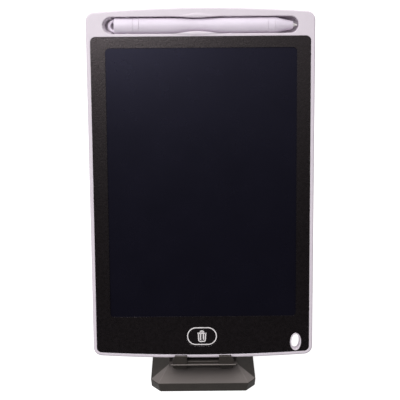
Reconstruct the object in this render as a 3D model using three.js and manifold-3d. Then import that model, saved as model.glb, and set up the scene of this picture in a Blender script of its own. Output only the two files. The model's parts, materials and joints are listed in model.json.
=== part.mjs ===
// An LCD writing tablet with its stylus, standing on a folding desk stand.
// Millimetres, +Z up, +X to the right, and the screen faces -Y.
// The origin is the centre of the underside of the stand's grip pad.
//
// The tablet and the cradle that holds it are drawn in the tablet's own axes:
// x across the screen, y up along it, and z out of the screen, from the middle of its bottom edge.

import * as THREE from 'three';
import { ConvexGeometry } from 'three/addons/geometries/ConvexGeometry.js';
import { mergeVertices } from 'three/addons/utils/BufferGeometryUtils.js';
import Module from 'manifold-3d';

const wasm = await Module();
wasm.setup();

// ---------------------------------------------------------------- driving dimensions

const GAP = 0.2; // between two pieces that rest on each other
const LEAN = THREE.MathUtils.degToRad(18.06); // the screen leans back from upright
const TABLET_FOOT = new THREE.Vector3(0, -32.8, 20.7); // middle of the screen's bottom edge

// Tablet body
const BODY_HEIGHT = 226.5;
const BODY_HALF_LOW = 72.1;
const BODY_HALF_HIGH = 72.6;
const BODY_CORNER = 5.6;
const BODY_DEPTH = 6.5;
const EDGE_ROUND = 1.2;
const ARCH_RADIUS = 1150; // the top and bottom edges are shallow arches
const TOP_ARCH_RADIUS = 900;
const SPLIT_Z = -4; // where the front frame meets the rear cover
const WALL = 1.1;
const SCREEN_ROOM = { front: 20, back: -20 }; // heights well clear of the tablet, for cutters

// Bezel film, window and display
const FILM_HALF = 69.75;
const FILM_LOW = 2.35;
const FILM_HIGH = 208.6;
const FILM_CORNER = 3.2;
const FILM_FRONT = -0.1;
const FILM_BACK = -0.5;
const WINDOW = { left: -60.5, right: 61, low: 27.9, high: 201.5, corner: 2.5 };
const DISPLAY = { left: -65, right: 65, low: 26.6, high: 204.4, front: -0.7, back: -1.6 };
const BACKING = { front: -1.75, back: -2.25 };
const POCKET_BACK = -2.4;
const BULKHEAD_BACK = -3.4;

// Erase button
const BUTTON_AT = new THREE.Vector2(-0.6, 14.5);
const BUTTON_SIZE = new THREE.Vector2(20.9, 13.1);
const BUTTON_GAP = 0.25;
const BUTTON_FLANGE = 1.2;
const FRONT_WALL_BACK = -1.6;

// Lanyard hole
const LANYARD_AT = new THREE.Vector2(61, 10.4);
const LANYARD_HOLE = new THREE.Vector2(5.4, 9.9);
const LANYARD_RIM = new THREE.Vector2(7.2, 11.8);

// Stylus and its slot
const STYLUS_AT = { y: 215.7, z: -4.2 };
const STYLUS_RADIUS = 5;
const WAIST = { middle: -2.3, half: 17.5, narrower: 0.9, raised: 0.4 }; // the barrel between the lips
const CAP_FACE = -54.8;
const REAR_BAND = { start: -43, end: -39 };
const FRONT_BAND = { start: 42.6, end: 47 };
const NOSE_END = 58.7;
const NIB_END = 61.4;
const SPIGOT = 2.8;
const SOCKET = 3;
const SOCKET_DEPTH = 3.5;
const SLOT_LENGTH = 123.8;
const SLOT_HEIGHT = 10.9;
const SLOT_FLOOR = -9.4;
const SLOT_FLOOR_CHAMFER = 2.4;
const RIDGE_BACK = -10.7;
const LIP_UPPER = { half: 14, reach: 0.7, outer: 3 }; // reach is how far a lip leans over the slot
const LIP_LOWER = { half: 16, reach: 1.5, outer: 1.2 };
const LIP_PROUD = 0.35;
const LIP_BACK = -2.2;
const SNAP_AT = [-46.2, 18.5];
const SNAP_DEPTH = 0.2;

// Battery compartment, lock slider and housing screws
const CELL_AT = new THREE.Vector2(0, 112);
const CELL_RADIUS = 10;
const DOOR = { left: -15, right: 15, low: 91, high: 126, corner: 2.5 };
const SLIDER_AT = new THREE.Vector2(49, 15);
const SLIDER_SIZE = new THREE.Vector2(8, 5);
const SLIDER_TRAVEL = 3;
const SCREWS_AT = [[-65, 21], [65, 21], [-64, 200], [64, 200]];
const DOOR_SCREW_AT = [0, DOOR.low + 4];
const SCREW_POST_RADIUS = 3;
const SCREW_HOLE_RADIUS = 1.15;

// Cradle and hook tray
const PAD_FRONT = -BODY_DEPTH - GAP;
const PLATE = { half: 33, low: 3, high: 80, front: -9, back: -11.6 };
const CRADLE_PIVOT = { y: 50, z: -18 };
const TRAY_HALF = 22.6;
const TRAY_TOP = -3;
const TRAY_BOTTOM = -4.2;
const TRAY_FRONT = 4.8;
const PRONG = { inner: 10.5, outer: 20.1, top: 2.3, back: 0.8, front: 4 };
const FLANGE = { front: -11.8, back: -13.6, top: 16 };
const TRAY_SCREWS_AT = [[-12, 11], [12, 11]];

// Base, arm and hinges
const BASE_HALF = new THREE.Vector2(34.7, 41.5);
const BASE_CHAMFER = 5.1;
const BASE_FOOT_CHAMFER = 6.3;
const BASE_DRAFT = 0.3; // how far the wall leans in towards its foot
const BASE_BOTTOM = 0.2;
const BASE_EDGE = 6.6; // height of the edge between the wall and the sloping top
const DECK = { half: 22.9, front: -25.8, rear: 32, height: 11 };
const BASE_ROOM = { inset: 3, chamfer: 7 };
const BASE_SCREWS_AT = [[-25, -32], [25, -32], [-25, 32], [25, 32]];
const BASE_PIVOT = { y: 31, z: 16 };
const PIN_RADIUS = 2;
const PIN_BORE = 2.15;
const PIN_HEAD_SEAT = { radius: 3.7, depth: 2.6 };
const NUT_SEAT_RADIUS = 3.9;
const BARREL_HALF = 11.6;
const WASHER_THICKNESS = 0.7;
const KNUCKLE_INNER = BARREL_HALF + WASHER_THICKNESS + 2 * GAP;
const KNUCKLE_OUTER = 19.4;
const KNUCKLE_RADIUS = 6.4;
const BARREL_RADIUS = 5.6;
const ARM_THICKNESS = 7;

// ---------------------------------------------------------------- materials

const lilac = { color: 0xd9cfe0, roughness: 0.45, metalness: 0 };
const lilacPen = { color: 0xe4dbe9, roughness: 0.4, metalness: 0 };
const blackFilm = { color: 0x1c1b1c, roughness: 0.6, metalness: 0 };
const navyDisplay = { color: 0x14151f, roughness: 0.35, metalness: 0 };
const blackPlastic = { color: 0x2a2827, roughness: 0.55, metalness: 0 };
const blackRubber = { color: 0x1b1b1b, roughness: 0.9, metalness: 0 };
const steel = { color: 0xb9bcc0, roughness: 0.35, metalness: 1 };
const brass = { color: 0xc9a75a, roughness: 0.35, metalness: 1 };
const boardGreen = { color: 0x1f5b3a, roughness: 0.5, metalness: 0 };
const amberFilm = { color: 0xb5752c, roughness: 0.4, metalness: 0 };
const whiteNylon = { color: 0xe6e4df, roughness: 0.6, metalness: 0 };
const redWire = { color: 0xb02222, roughness: 0.5, metalness: 0 };
const blackWire = { color: 0x222222, roughness: 0.5, metalness: 0 };

// ---------------------------------------------------------------- solids from three.js geometry

function solidOf(geometry) {
  const bare = geometry.clone();
  bare.deleteAttribute('normal');
  bare.deleteAttribute('uv');
  const merged = mergeVertices(bare, 1e-4);
  const triangles = [];
  for (let i = 0; i < merged.index.count; i += 3) {
    const [a, b, c] = [0, 1, 2].map((k) => merged.index.getX(i + k));
    if (a !== b && b !== c && c !== a) triangles.push(a, b, c);
  }
  return new wasm.Manifold(new wasm.Mesh({
    numProp: 3,
    vertProperties: new Float32Array(merged.attributes.position.array),
    triVerts: new Uint32Array(triangles),
  }));
}

function geometryOf(solid) {
  const { vertProperties, triVerts } = solid.getMesh();
  const geometry = new THREE.BufferGeometry();
  geometry.setAttribute('position', new THREE.BufferAttribute(new Float32Array(vertProperties), 3));
  geometry.setIndex(new THREE.BufferAttribute(new Uint32Array(triVerts), 1));
  geometry.computeVertexNormals();
  return geometry;
}

const join = (...solids) => solids.reduce((whole, solid) => whole.add(solid));
const cut = (body, ...tools) => tools.reduce((rest, tool) => rest.subtract(tool), body);

// A prism of an outline [[x, y], ...], from one z to another.
function prismZ(outline, low, high) {
  const shape = new THREE.Shape(outline.map(([x, y]) => new THREE.Vector2(x, y)));
  const geometry = new THREE.ExtrudeGeometry(shape, { depth: high - low, bevelEnabled: false });
  return solidOf(geometry.translate(0, 0, low));
}

// A prism of an outline [[y, z], ...], from one x to another.
function prismX(outline, low, high) {
  const shape = new THREE.Shape(outline.map(([y, z]) => new THREE.Vector2(y, z)));
  const geometry = new THREE.ExtrudeGeometry(shape, { depth: high - low, bevelEnabled: false });
  const turn = new THREE.Matrix4().makeBasis(
    new THREE.Vector3(0, 1, 0),
    new THREE.Vector3(0, 0, 1),
    new THREE.Vector3(1, 0, 0),
  );
  return solidOf(geometry.translate(0, 0, low).applyMatrix4(turn));
}

// The same prism on both sides of the middle plane.
function prismBothX(outline, inner, outer) {
  return [prismX(outline, -outer, -inner), prismX(outline, inner, outer)];
}

// A solid turned about the stylus's axis from [[x, radius], ...]. raise(x) lifts its sections in y.
function turnedStylus(profile, raise = () => 0) {
  const points = profile.map(([x, radius]) => new THREE.Vector2(radius, x));
  const geometry = new THREE.LatheGeometry(points, 16).rotateZ(-Math.PI / 2);
  const { position } = geometry.attributes;
  for (let i = 0; i < position.count; i += 1) {
    position.setY(i, position.getY(i) + raise(position.getX(i)));
  }
  return solidOf(geometry.translate(0, STYLUS_AT.y, STYLUS_AT.z));
}

// ---------------------------------------------------------------- outlines

function arc(x, y, radius, from, to, steps) {
  const points = [];
  for (let i = 0; i <= steps; i += 1) {
    const angle = THREE.MathUtils.degToRad(from + (to - from) * i / steps);
    points.push([x + radius * Math.cos(angle), y + radius * Math.sin(angle)]);
  }
  return points;
}

const disc = (x, y, radius, steps = 20) => arc(x, y, radius, 0, 360 - 360 / steps, steps - 1);

function box(left, low, right, high) {
  return [[left, low], [right, low], [right, high], [left, high]];
}

// One round cutter or post along Z at each place.
function drilled(places, radius, low, high, steps = 16) {
  return places.map(([x, y]) => prismZ(disc(x, y, radius, steps), low, high));
}

function roundedBox({ left, low, right, high, corner }, grow = 0, steps = 4) {
  const radius = Math.max(corner + grow, 0.1);
  const [x0, y0, x1, y1] = [left - grow, low - grow, right + grow, high + grow];
  return [
    ...arc(x0 + radius, y0 + radius, radius, 180, 270, steps),
    ...arc(x1 - radius, y0 + radius, radius, 270, 360, steps),
    ...arc(x1 - radius, y1 - radius, radius, 0, 90, steps),
    ...arc(x0 + radius, y1 - radius, radius, 90, 180, steps),
  ];
}

// A slot shape with two half-round ends on its longer axis.
function pill(centre, size, grow = 0, steps = 8) {
  const [width, height] = [size.x + 2 * grow, size.y + 2 * grow];
  const radius = Math.min(width, height) / 2;
  const [dx, dy] = [width / 2 - radius, height / 2 - radius];
  if (dx > dy) {
    return [
      ...arc(centre.x + dx, centre.y, radius, -90, 90, steps),
      ...arc(centre.x - dx, centre.y, radius, 90, 270, steps),
    ];
  }
  return [
    ...arc(centre.x, centre.y + dy, radius, 0, 180, steps),
    ...arc(centre.x, centre.y - dy, radius, 180, 360, steps),
  ];
}

// An ellipse of the given width and height.
function oval(centre, size, grow = 0, steps = 32) {
  const points = [];
  for (let i = 0; i < steps; i += 1) {
    const angle = 2 * Math.PI * i / steps;
    const across = (size.x / 2 + grow) * Math.cos(angle);
    const along = (size.y / 2 + grow) * Math.sin(angle);
    points.push([centre.x + across, centre.y + along]);
  }
  return points;
}

// A panel with rounded corners whose ends may be shallow arches.
function panel({ halfLow, halfHigh, low, high, archLow, archHigh, corner }, steps = 5, archSteps = 8) {
  const sag = (x, radius) => (radius ? (x * x) / (2 * radius) : 0);
  const [xLow, xHigh] = [halfLow - corner, halfHigh - corner];
  const yLow = low + corner + sag(xLow, archLow);
  const yHigh = high - corner - sag(xHigh, archHigh);
  const bottom = [];
  const top = [];
  for (let i = 1; i < archSteps; i += 1) {
    const t = -1 + 2 * i / archSteps;
    if (archLow) bottom.push([xLow * t, low + sag(xLow * t, archLow)]);
    if (archHigh) top.push([-xHigh * t, high - sag(xHigh * t, archHigh)]);
  }
  return [
    ...arc(-xLow, yLow, corner, 180, 270, steps),
    ...bottom,
    ...arc(xLow, yLow, corner, 270, 360, steps),
    ...arc(xHigh, yHigh, corner, 0, 90, steps),
    ...top,
    ...arc(-xHigh, yHigh, corner, 90, 180, steps),
  ];
}

function octagon(halfX, halfY, chamfer, z) {
  const [x, y, c] = [halfX, halfY, chamfer];
  const corners = [
    [x, -y + c], [x, y - c], [x - c, y], [-x + c, y],
    [-x, y - c], [-x, -y + c], [-x + c, -y], [x - c, -y],
  ];
  return corners.map(([px, py]) => new THREE.Vector3(px, py, z));
}

const hullOf = (points) => solidOf(new ConvexGeometry(points));

// ---------------------------------------------------------------- tablet: housing

function bodyOutline(inset = 0) {
  return panel({
    halfLow: BODY_HALF_LOW - inset,
    halfHigh: BODY_HALF_HIGH - inset,
    low: inset,
    high: BODY_HEIGHT - inset,
    archLow: ARCH_RADIUS,
    archHigh: TOP_ARCH_RADIUS,
    corner: BODY_CORNER - Math.min(inset, BODY_CORNER - 1),
  });
}

function filmOutline(grow = 0) {
  return panel({
    halfLow: FILM_HALF + grow,
    halfHigh: FILM_HALF + grow,
    low: FILM_LOW - grow,
    high: FILM_HIGH + grow,
    archLow: ARCH_RADIUS,
    archHigh: 0,
    corner: FILM_CORNER + grow,
  });
}

// The whole tablet body with rounded front and back edges, before it is split and hollowed.
function tabletBody() {
  const shape = new THREE.Shape(bodyOutline().map(([x, y]) => new THREE.Vector2(x, y)));
  const geometry = new THREE.ExtrudeGeometry(shape, {
    depth: BODY_DEPTH - 2 * EDGE_ROUND,
    bevelThickness: EDGE_ROUND,
    bevelSize: EDGE_ROUND,
    bevelOffset: -EDGE_ROUND,
    bevelSegments: 2,
  });
  return solidOf(geometry.translate(0, 0, EDGE_ROUND - BODY_DEPTH));
}

// The room behind the front wall for the circuit board, and behind the bulkhead above it.
function electronicsRoom(front, back) {
  const inner = { left: -69, right: 69, low: 5.5, high: 25.4, corner: 3 };
  const lanyardWall = prismZ(oval(LANYARD_AT, LANYARD_HOLE, 1.6), back - 1, front + 1);
  const posts = drilled(SCREWS_AT, SCREW_POST_RADIUS, back - 1, front + 1);
  return cut(prismZ(roundedBox(inner), back, front), lanyardWall, ...posts);
}

function upperRoom(front, back) {
  const inner = { left: -68.5, right: 68.5, low: 24, high: 206, corner: 3 };
  const posts = drilled(SCREWS_AT, SCREW_POST_RADIUS, back - 1, front + 1);
  return cut(prismZ(roundedBox(inner), back, front), ...posts);
}

// One lens-shaped lip on the slot's rim. side is 1 for the upper rim and -1 for the lower.
function slotLip(side, { half, reach, outer }) {
  const rim = STYLUS_AT.y + side * SLOT_HEIGHT / 2;
  const steps = 8;
  const outline = [];
  for (let i = 0; i <= steps; i += 1) {
    const t = -1 + 2 * i / steps;
    outline.push([WAIST.middle + half * t, rim - side * reach * (1 - t * t)]);
  }
  for (let i = 1; i < steps; i += 1) {
    const t = 1 - 2 * i / steps;
    outline.push([WAIST.middle + half * t, rim + side * outer * (1 - t * t)]);
  }
  return prismZ(side > 0 ? outline : outline.reverse(), LIP_BACK, LIP_PROUD);
}

function snapRib(x, side) {
  const rim = STYLUS_AT.y + side * SLOT_HEIGHT / 2;
  const crest = rim - side * SNAP_DEPTH;
  const root = rim + side * 0.5;
  const outline = [
    [x - 1.5, rim], [x - 1, crest], [x + 1, crest], [x + 1.5, rim], [x + 1.5, root], [x - 1.5, root],
  ];
  return prismZ(side > 0 ? outline : outline.reverse(), SPLIT_Z + GAP / 2, -0.5);
}

function frontFrame() {
  const slot = pill({ x: 0, y: STYLUS_AT.y }, { x: SLOT_LENGTH, y: SLOT_HEIGHT });
  const pocket = { left: -66.5, right: 66.5, low: 26, high: 205, corner: 1.5 };
  const flexWay = { left: 19.2, right: 34.8, low: 23, high: 33, corner: 0.5 };
  const splitFace = SPLIT_Z + GAP / 2;
  const lower = prismZ(box(-90, -10, 90, 240), SCREEN_ROOM.back, splitFace);
  const body = cut(
    tabletBody(),
    lower,
    prismZ(filmOutline(0.1), FILM_BACK - GAP / 2, 1),
    prismZ(roundedBox(pocket), POCKET_BACK, 1),
    prismZ(roundedBox(flexWay), BULKHEAD_BACK - 0.1, FRONT_WALL_BACK),
    prismZ(slot, SCREEN_ROOM.back, 2),
    electronicsRoom(FRONT_WALL_BACK, -6),
    upperRoom(BULKHEAD_BACK, -6),
    prismZ(pill(BUTTON_AT, BUTTON_SIZE, BUTTON_GAP), -3, 1),
    ...drilled(SCREWS_AT, 1.1, -6, -2.7, 12),
  );
  const rim = prismZ(oval(LANYARD_AT, LANYARD_RIM), splitFace, -0.02);
  const ribs = SNAP_AT.flatMap((x) => [snapRib(x, 1), snapRib(x, -1)]);
  const whole = join(body, rim, slotLip(1, LIP_UPPER), slotLip(-1, LIP_LOWER), ...ribs);
  return cut(whole, prismZ(oval(LANYARD_AT, LANYARD_HOLE), SCREEN_ROOM.back, 2));
}

// The room for the stylus behind the front frame, with chamfers round its floor.
function slotTrough() {
  const at = { x: 0, y: STYLUS_AT.y };
  const size = { x: SLOT_LENGTH, y: SLOT_HEIGHT };
  const wallFoot = SLOT_FLOOR + SLOT_FLOOR_CHAMFER;
  const raised = (outline, z) => outline.map(([x, y]) => new THREE.Vector3(x, y, z));
  const floor = hullOf([
    ...raised(pill(at, size, -SLOT_FLOOR_CHAMFER), SLOT_FLOOR),
    ...raised(pill(at, size), wallFoot),
    ...raised(pill(at, size), wallFoot + 0.5),
  ]);
  return join(floor, prismZ(pill(at, size), wallFoot, 1));
}

function rearCover() {
  const splitFace = SPLIT_Z - GAP / 2;
  const upper = prismZ(box(-90, -10, 90, 240), splitFace, SCREEN_ROOM.front);
  const ridgeSide = [[202, -6], [208, RIDGE_BACK], [222.6, RIDGE_BACK], [225.2, -6.6], [225.2, -5]];
  const ridgePlan = prismZ(bodyOutline(0.5), SCREEN_ROOM.back, -5);
  const ridge = prismX(ridgeSide, -80, 80).intersect(ridgePlan);
  const shell = cut(
    join(cut(tabletBody(), upper), ridge),
    slotTrough(),
    electronicsRoom(1, -BODY_DEPTH + WALL),
    upperRoom(1, -BODY_DEPTH + WALL),
  );
  const withWell = join(shell, prismZ(roundedBox(DOOR, 2), -6, splitFace));
  const sliderRoom = { x: SLIDER_SIZE.x + SLIDER_TRAVEL, y: SLIDER_SIZE.y };
  const sliderMiddle = { x: SLIDER_AT.x + SLIDER_TRAVEL / 2, y: SLIDER_AT.y };
  return cut(
    withWell,
    prismZ(disc(CELL_AT.x, CELL_AT.y, CELL_RADIUS + 0.4, 24), -7, 1),
    prismZ(box(9.8, 99.6, 12.8, 118.4), -5.4, 1),
    prismZ(roundedBox(DOOR, 0.25), -8, -5.5),
    ...drilled([DOOR_SCREW_AT], 0.85, -7, -4.6, 12),
    prismZ(oval(LANYARD_AT, LANYARD_HOLE), SCREEN_ROOM.back, 2),
    prismZ(pill(sliderMiddle, sliderRoom, 0.3), -8, -5.95),
    prismZ(pill(sliderMiddle, { x: 3 + SLIDER_TRAVEL, y: 2.2 }, 0.2), -8, -4),
    ...drilled(SCREWS_AT, SCREW_HOLE_RADIUS, -8, -3, 12),
    ...drilled(SCREWS_AT, 2.15, -8, -5.2),
  );
}

// A pan-head screw along Z with a cross recess. headEnd and tip are heights, head towards headEnd.
function screw(x, y, headEnd, tip, headRadius, shankRadius) {
  const way = Math.sign(tip - headEnd);
  const span = (from, to) => [Math.min(from, to), Math.max(from, to)];
  const underHead = headEnd + way * 0.95;
  const head = prismZ(disc(x, y, headRadius, 12), ...span(headEnd, underHead));
  const shank = prismZ(disc(x, y, shankRadius, 8), ...span(headEnd + way * 0.5, tip));
  const [deep, out] = [headEnd + way * 0.55, headEnd - way];
  const slotHalf = headRadius * 0.62;
  return cut(
    join(head, shank),
    prismZ(box(x - slotHalf, y - 0.25, x + slotHalf, y + 0.25), ...span(deep, out)),
    prismZ(box(x - 0.25, y - slotHalf, x + 0.25, y + slotHalf), ...span(deep, out)),
  );
}

// ---------------------------------------------------------------- tablet: film, display and inside

function bezelFilm() {
  return cut(
    prismZ(filmOutline(), FILM_BACK, FILM_FRONT),
    prismZ(roundedBox(WINDOW), -2, 1),
    prismZ(pill(BUTTON_AT, BUTTON_SIZE, BUTTON_GAP), -2, 1),
    prismZ(oval(LANYARD_AT, LANYARD_RIM, 0.12), -2, 1),
  );
}

function displayPanel() {
  return prismZ(roundedBox({ ...DISPLAY, corner: 1 }), DISPLAY.back, DISPLAY.front);
}

function displayBacking() {
  const flexCut = box(19, 20, 35, 33);
  const sheet = prismZ(roundedBox({ ...DISPLAY, corner: 1 }, -0.5), BACKING.back, BACKING.front);
  return cut(sheet, prismZ(flexCut, -4, 1));
}

function circuitBoard() {
  const outline = { left: -34, right: 54, low: 6.5, high: 23.5, corner: 1 };
  const board = prismZ(roundedBox(outline, 0, 3), -4.5, -3.6);
  const chip = prismZ(box(-24, 10, -16, 18), -5.1, -4.4);
  const capacitors = [-29, -12, 8].map((x) => prismZ(box(x, 17, x + 3, 19), -5, -4.4));
  const connector = prismZ(box(19.5, 7.6, 34.5, 9.6), -3.7, -2.7);
  return join(board, chip, connector, ...capacitors);
}

// The thin flexible circuit that runs from the display's lower edge down to the board's connector.
function flexTail() {
  const half = 0.08;
  const upper = -1.9;
  const lower = -3.45;
  const side = [
    [10, lower - half], [20.5, lower - half], [24, upper - half], [31.5, upper - half],
    [31.5, upper + half], [23.9, upper + half], [20.4, lower + half], [10, lower + half],
  ];
  return prismX(side, 20, 34);
}

function domeSwitch() {
  const { x, y } = BUTTON_AT;
  const can = prismZ(box(x - 3, y - 3, x + 3, y + 3), -3.5, -3.1);
  return join(can, prismZ(disc(x, y, 1.8, 16), -3.2, -2.92));
}

function slideSwitch() {
  const { x, y } = SLIDER_AT;
  const can = prismZ(box(x - 4, y - 3.5, x + 7, y + 3.5), -5.1, -4.6);
  return cut(can, prismZ(box(x - 2, y - 1.4, x + 5.2, y + 1.4), -6, -4.8));
}

function coinCell() {
  const [x, y] = [CELL_AT.x, CELL_AT.y];
  const can = prismZ(disc(x, y, CELL_RADIUS, 24), -5.25, -3.95);
  return join(can, prismZ(disc(x, y, CELL_RADIUS - 1.2, 24), -4.1, -3.7));
}

function contactPositive() {
  const strip = prismZ(box(10.65, 106, 12.4, 118), -5.2, -4.9);
  const riser = prismZ(box(12, 100, 12.4, 118), -5.2, -3.7);
  const tail = prismZ(box(9.4, 86.2, 12.4, 100.5), -3.75, -3.55);
  return join(strip, riser, tail);
}

function contactNegative() {
  const leaf = prismZ(box(-3, 106, 3, 118), -3.65, -3.5);
  const arm = prismZ(box(-10.4, 106, -2, 108), -3.65, -3.5);
  const tail = prismZ(box(-12.4, 86.2, -9.4, 108), -3.65, -3.5);
  return join(leaf, arm, tail);
}

// One insulated lead from a battery contact's tail down to the board.
function batteryLead(x) {
  const path = new THREE.CatmullRomCurve3([
    new THREE.Vector3(x, 85.6, -4.3),
    new THREE.Vector3(x * 1.15, 66, -4.4),
    new THREE.Vector3(x * 0.95, 45, -4.3),
    new THREE.Vector3(x, 24.6, -4.2),
  ]);
  const section = new THREE.Shape(disc(0, 0, 0.5, 6).map(([a, b]) => new THREE.Vector2(a, b)));
  const along = { steps: 12, extrudePath: path, bevelEnabled: false };
  return solidOf(new THREE.ExtrudeGeometry(section, along));
}

// ---------------------------------------------------------------- tablet: moving pieces

function eraseButton() {
  const cap = prismZ(pill(BUTTON_AT, BUTTON_SIZE), -2.1, -0.12);
  const flange = prismZ(pill(BUTTON_AT, BUTTON_SIZE, BUTTON_FLANGE), -2.1, FRONT_WALL_BACK - 0.12);
  const nub = prismZ(disc(BUTTON_AT.x, BUTTON_AT.y, 1.5, 16), -2.4, -2);
  return join(cap, flange, nub);
}

function lockSlider() {
  const { x, y } = SLIDER_AT;
  const thumb = prismZ(pill(SLIDER_AT, SLIDER_SIZE), -7, -6.05);
  const neck = prismZ(pill(SLIDER_AT, { x: 3, y: 2 }), -6.5, -4.95);
  const grooves = [-2, -0.8, 0.4, 1.6].map((dx) => {
    const groove = box(x + dx, y - 2, x + dx + 0.5, y + 2);
    return prismZ(groove, -8, -6.7);
  });
  return cut(join(thumb, neck), ...grooves);
}

function batteryDoor() {
  const grip = [0, 1.6, 3.2].map((dy) => prismZ(box(-6, 119 + dy, 6, 119.8 + dy), -8, -6.25));
  return cut(
    prismZ(roundedBox(DOOR), -BODY_DEPTH, -5.65),
    ...drilled([DOOR_SCREW_AT], 1.1, -8, 0, 12),
    ...grip,
  );
}

// ---------------------------------------------------------------- stylus

// The cap at the blunt end, with an eyelet for a cord.
function stylusEndCap() {
  const { y, z } = STYLUS_AT;
  const end = REAR_BAND.start - GAP / 2;
  const body = turnedStylus([
    [CAP_FACE, 0], [CAP_FACE, STYLUS_RADIUS - 0.5], [CAP_FACE + 0.5, STYLUS_RADIUS],
    [end, STYLUS_RADIUS], [end, SOCKET], [end - SOCKET_DEPTH, SOCKET], [end - SOCKET_DEPTH, 0],
  ]);
  const tip = CAP_FACE - 4.4;
  const loop = [
    [CAP_FACE + 0.3, y - 4],
    [CAP_FACE + 0.3, y + 4],
    ...arc(tip + 1.6, y, 1.6, 130, 230, 6),
  ].reverse();
  const eye = [
    [CAP_FACE, y - 2.4],
    [CAP_FACE, y + 2.4],
    ...arc(tip + 2.3, y, 0.9, 130, 230, 4),
  ].reverse();
  return cut(join(body, prismZ(loop, z - 1.3, z + 1.3)), prismZ(eye, z - 3, z + 3));
}

function stylusBand({ start, end }) {
  const [from, to] = [start + GAP / 2, end - GAP / 2];
  const [inner, outer] = [SOCKET, STYLUS_RADIUS];
  return turnedStylus([[from, inner], [from, outer], [to, outer], [to, inner], [from, inner]]);
}

// The barrel narrows between the lips, more on its lower side, so that it passes them.
function stylusBarrel() {
  const [from, to] = [REAR_BAND.end + GAP / 2, FRONT_BAND.start - GAP / 2];
  const [rear, front] = [REAR_BAND.start - 3.2, FRONT_BAND.end + 3.2];
  const narrowing = (x) => Math.max(1 - ((x - WAIST.middle) / WAIST.half) ** 2, 0);
  const waist = [];
  for (let i = 0; i <= 8; i += 1) {
    const x = WAIST.middle + WAIST.half * (-1 + i / 4);
    waist.push([x, STYLUS_RADIUS - WAIST.narrower * narrowing(x)]);
  }
  return turnedStylus([
    [rear, 0], [rear, SPIGOT], [from, SPIGOT], [from, STYLUS_RADIUS],
    ...waist,
    [to, STYLUS_RADIUS], [to, SPIGOT], [front, SPIGOT], [front, 0],
  ], (x) => WAIST.raised * narrowing(x));
}

function stylusNose() {
  const start = FRONT_BAND.end + GAP / 2;
  return turnedStylus([
    [start, SOCKET], [start, STYLUS_RADIUS], [start + 1.5, STYLUS_RADIUS - 0.15],
    [NOSE_END - 5, 3.6], [NOSE_END, 2.5], [NOSE_END, 1.5],
    [start + SOCKET_DEPTH, 1.5], [start + SOCKET_DEPTH, SOCKET], [start, SOCKET],
  ]);
}

function stylusNib() {
  const base = FRONT_BAND.end + 4.2;
  return turnedStylus([
    [base, 0], [base, 1.3], [NOSE_END + 0.1, 1.3],
    [NIB_END - 0.6, 0.85], [NIB_END - 0.15, 0.55], [NIB_END, 0],
  ]);
}

// ---------------------------------------------------------------- cradle, in the tablet's axes

// The cutters for a hinge: its bore, the seat of the pin's head and the seat of the nut.
function hingeBores({ y, z }) {
  const { radius, depth } = PIN_HEAD_SEAT;
  return [
    prismX(disc(y, z, PIN_BORE, 16), -30, 30),
    prismX(disc(y, z, radius, 16), KNUCKLE_OUTER - depth, 30),
    prismX(disc(y, z, NUT_SEAT_RADIUS, 6), -30, depth - KNUCKLE_OUTER),
  ];
}

function cradlePlate() {
  const { half, low, high } = PLATE;
  const outline = { left: -half, right: half, low, high, corner: 6 };
  const { y, z } = CRADLE_PIVOT;
  const lugFoot = PLATE.back + 0.3;
  const lugSide = [[y - 9, lugFoot], [y - BARREL_RADIUS, z], [y + BARREL_RADIUS, z], [y + 9, lugFoot]];
  const lugs = [
    ...prismBothX(lugSide, KNUCKLE_INNER, KNUCKLE_OUTER),
    ...prismBothX(disc(y, z, BARREL_RADIUS), KNUCKLE_INNER, KNUCKLE_OUTER),
  ];
  return cut(
    join(prismZ(roundedBox(outline), PLATE.back, PLATE.front), ...lugs),
    ...hingeBores(CRADLE_PIVOT),
    ...drilled(TRAY_SCREWS_AT, SCREW_HOLE_RADIUS, -12, -9.6, 12),
  );
}

function cradlePad() {
  const outline = { left: -27, right: 27, low: 18, high: 74, corner: 4 };
  return prismZ(roundedBox(outline), PLATE.front + GAP, PAD_FRONT);
}

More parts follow.
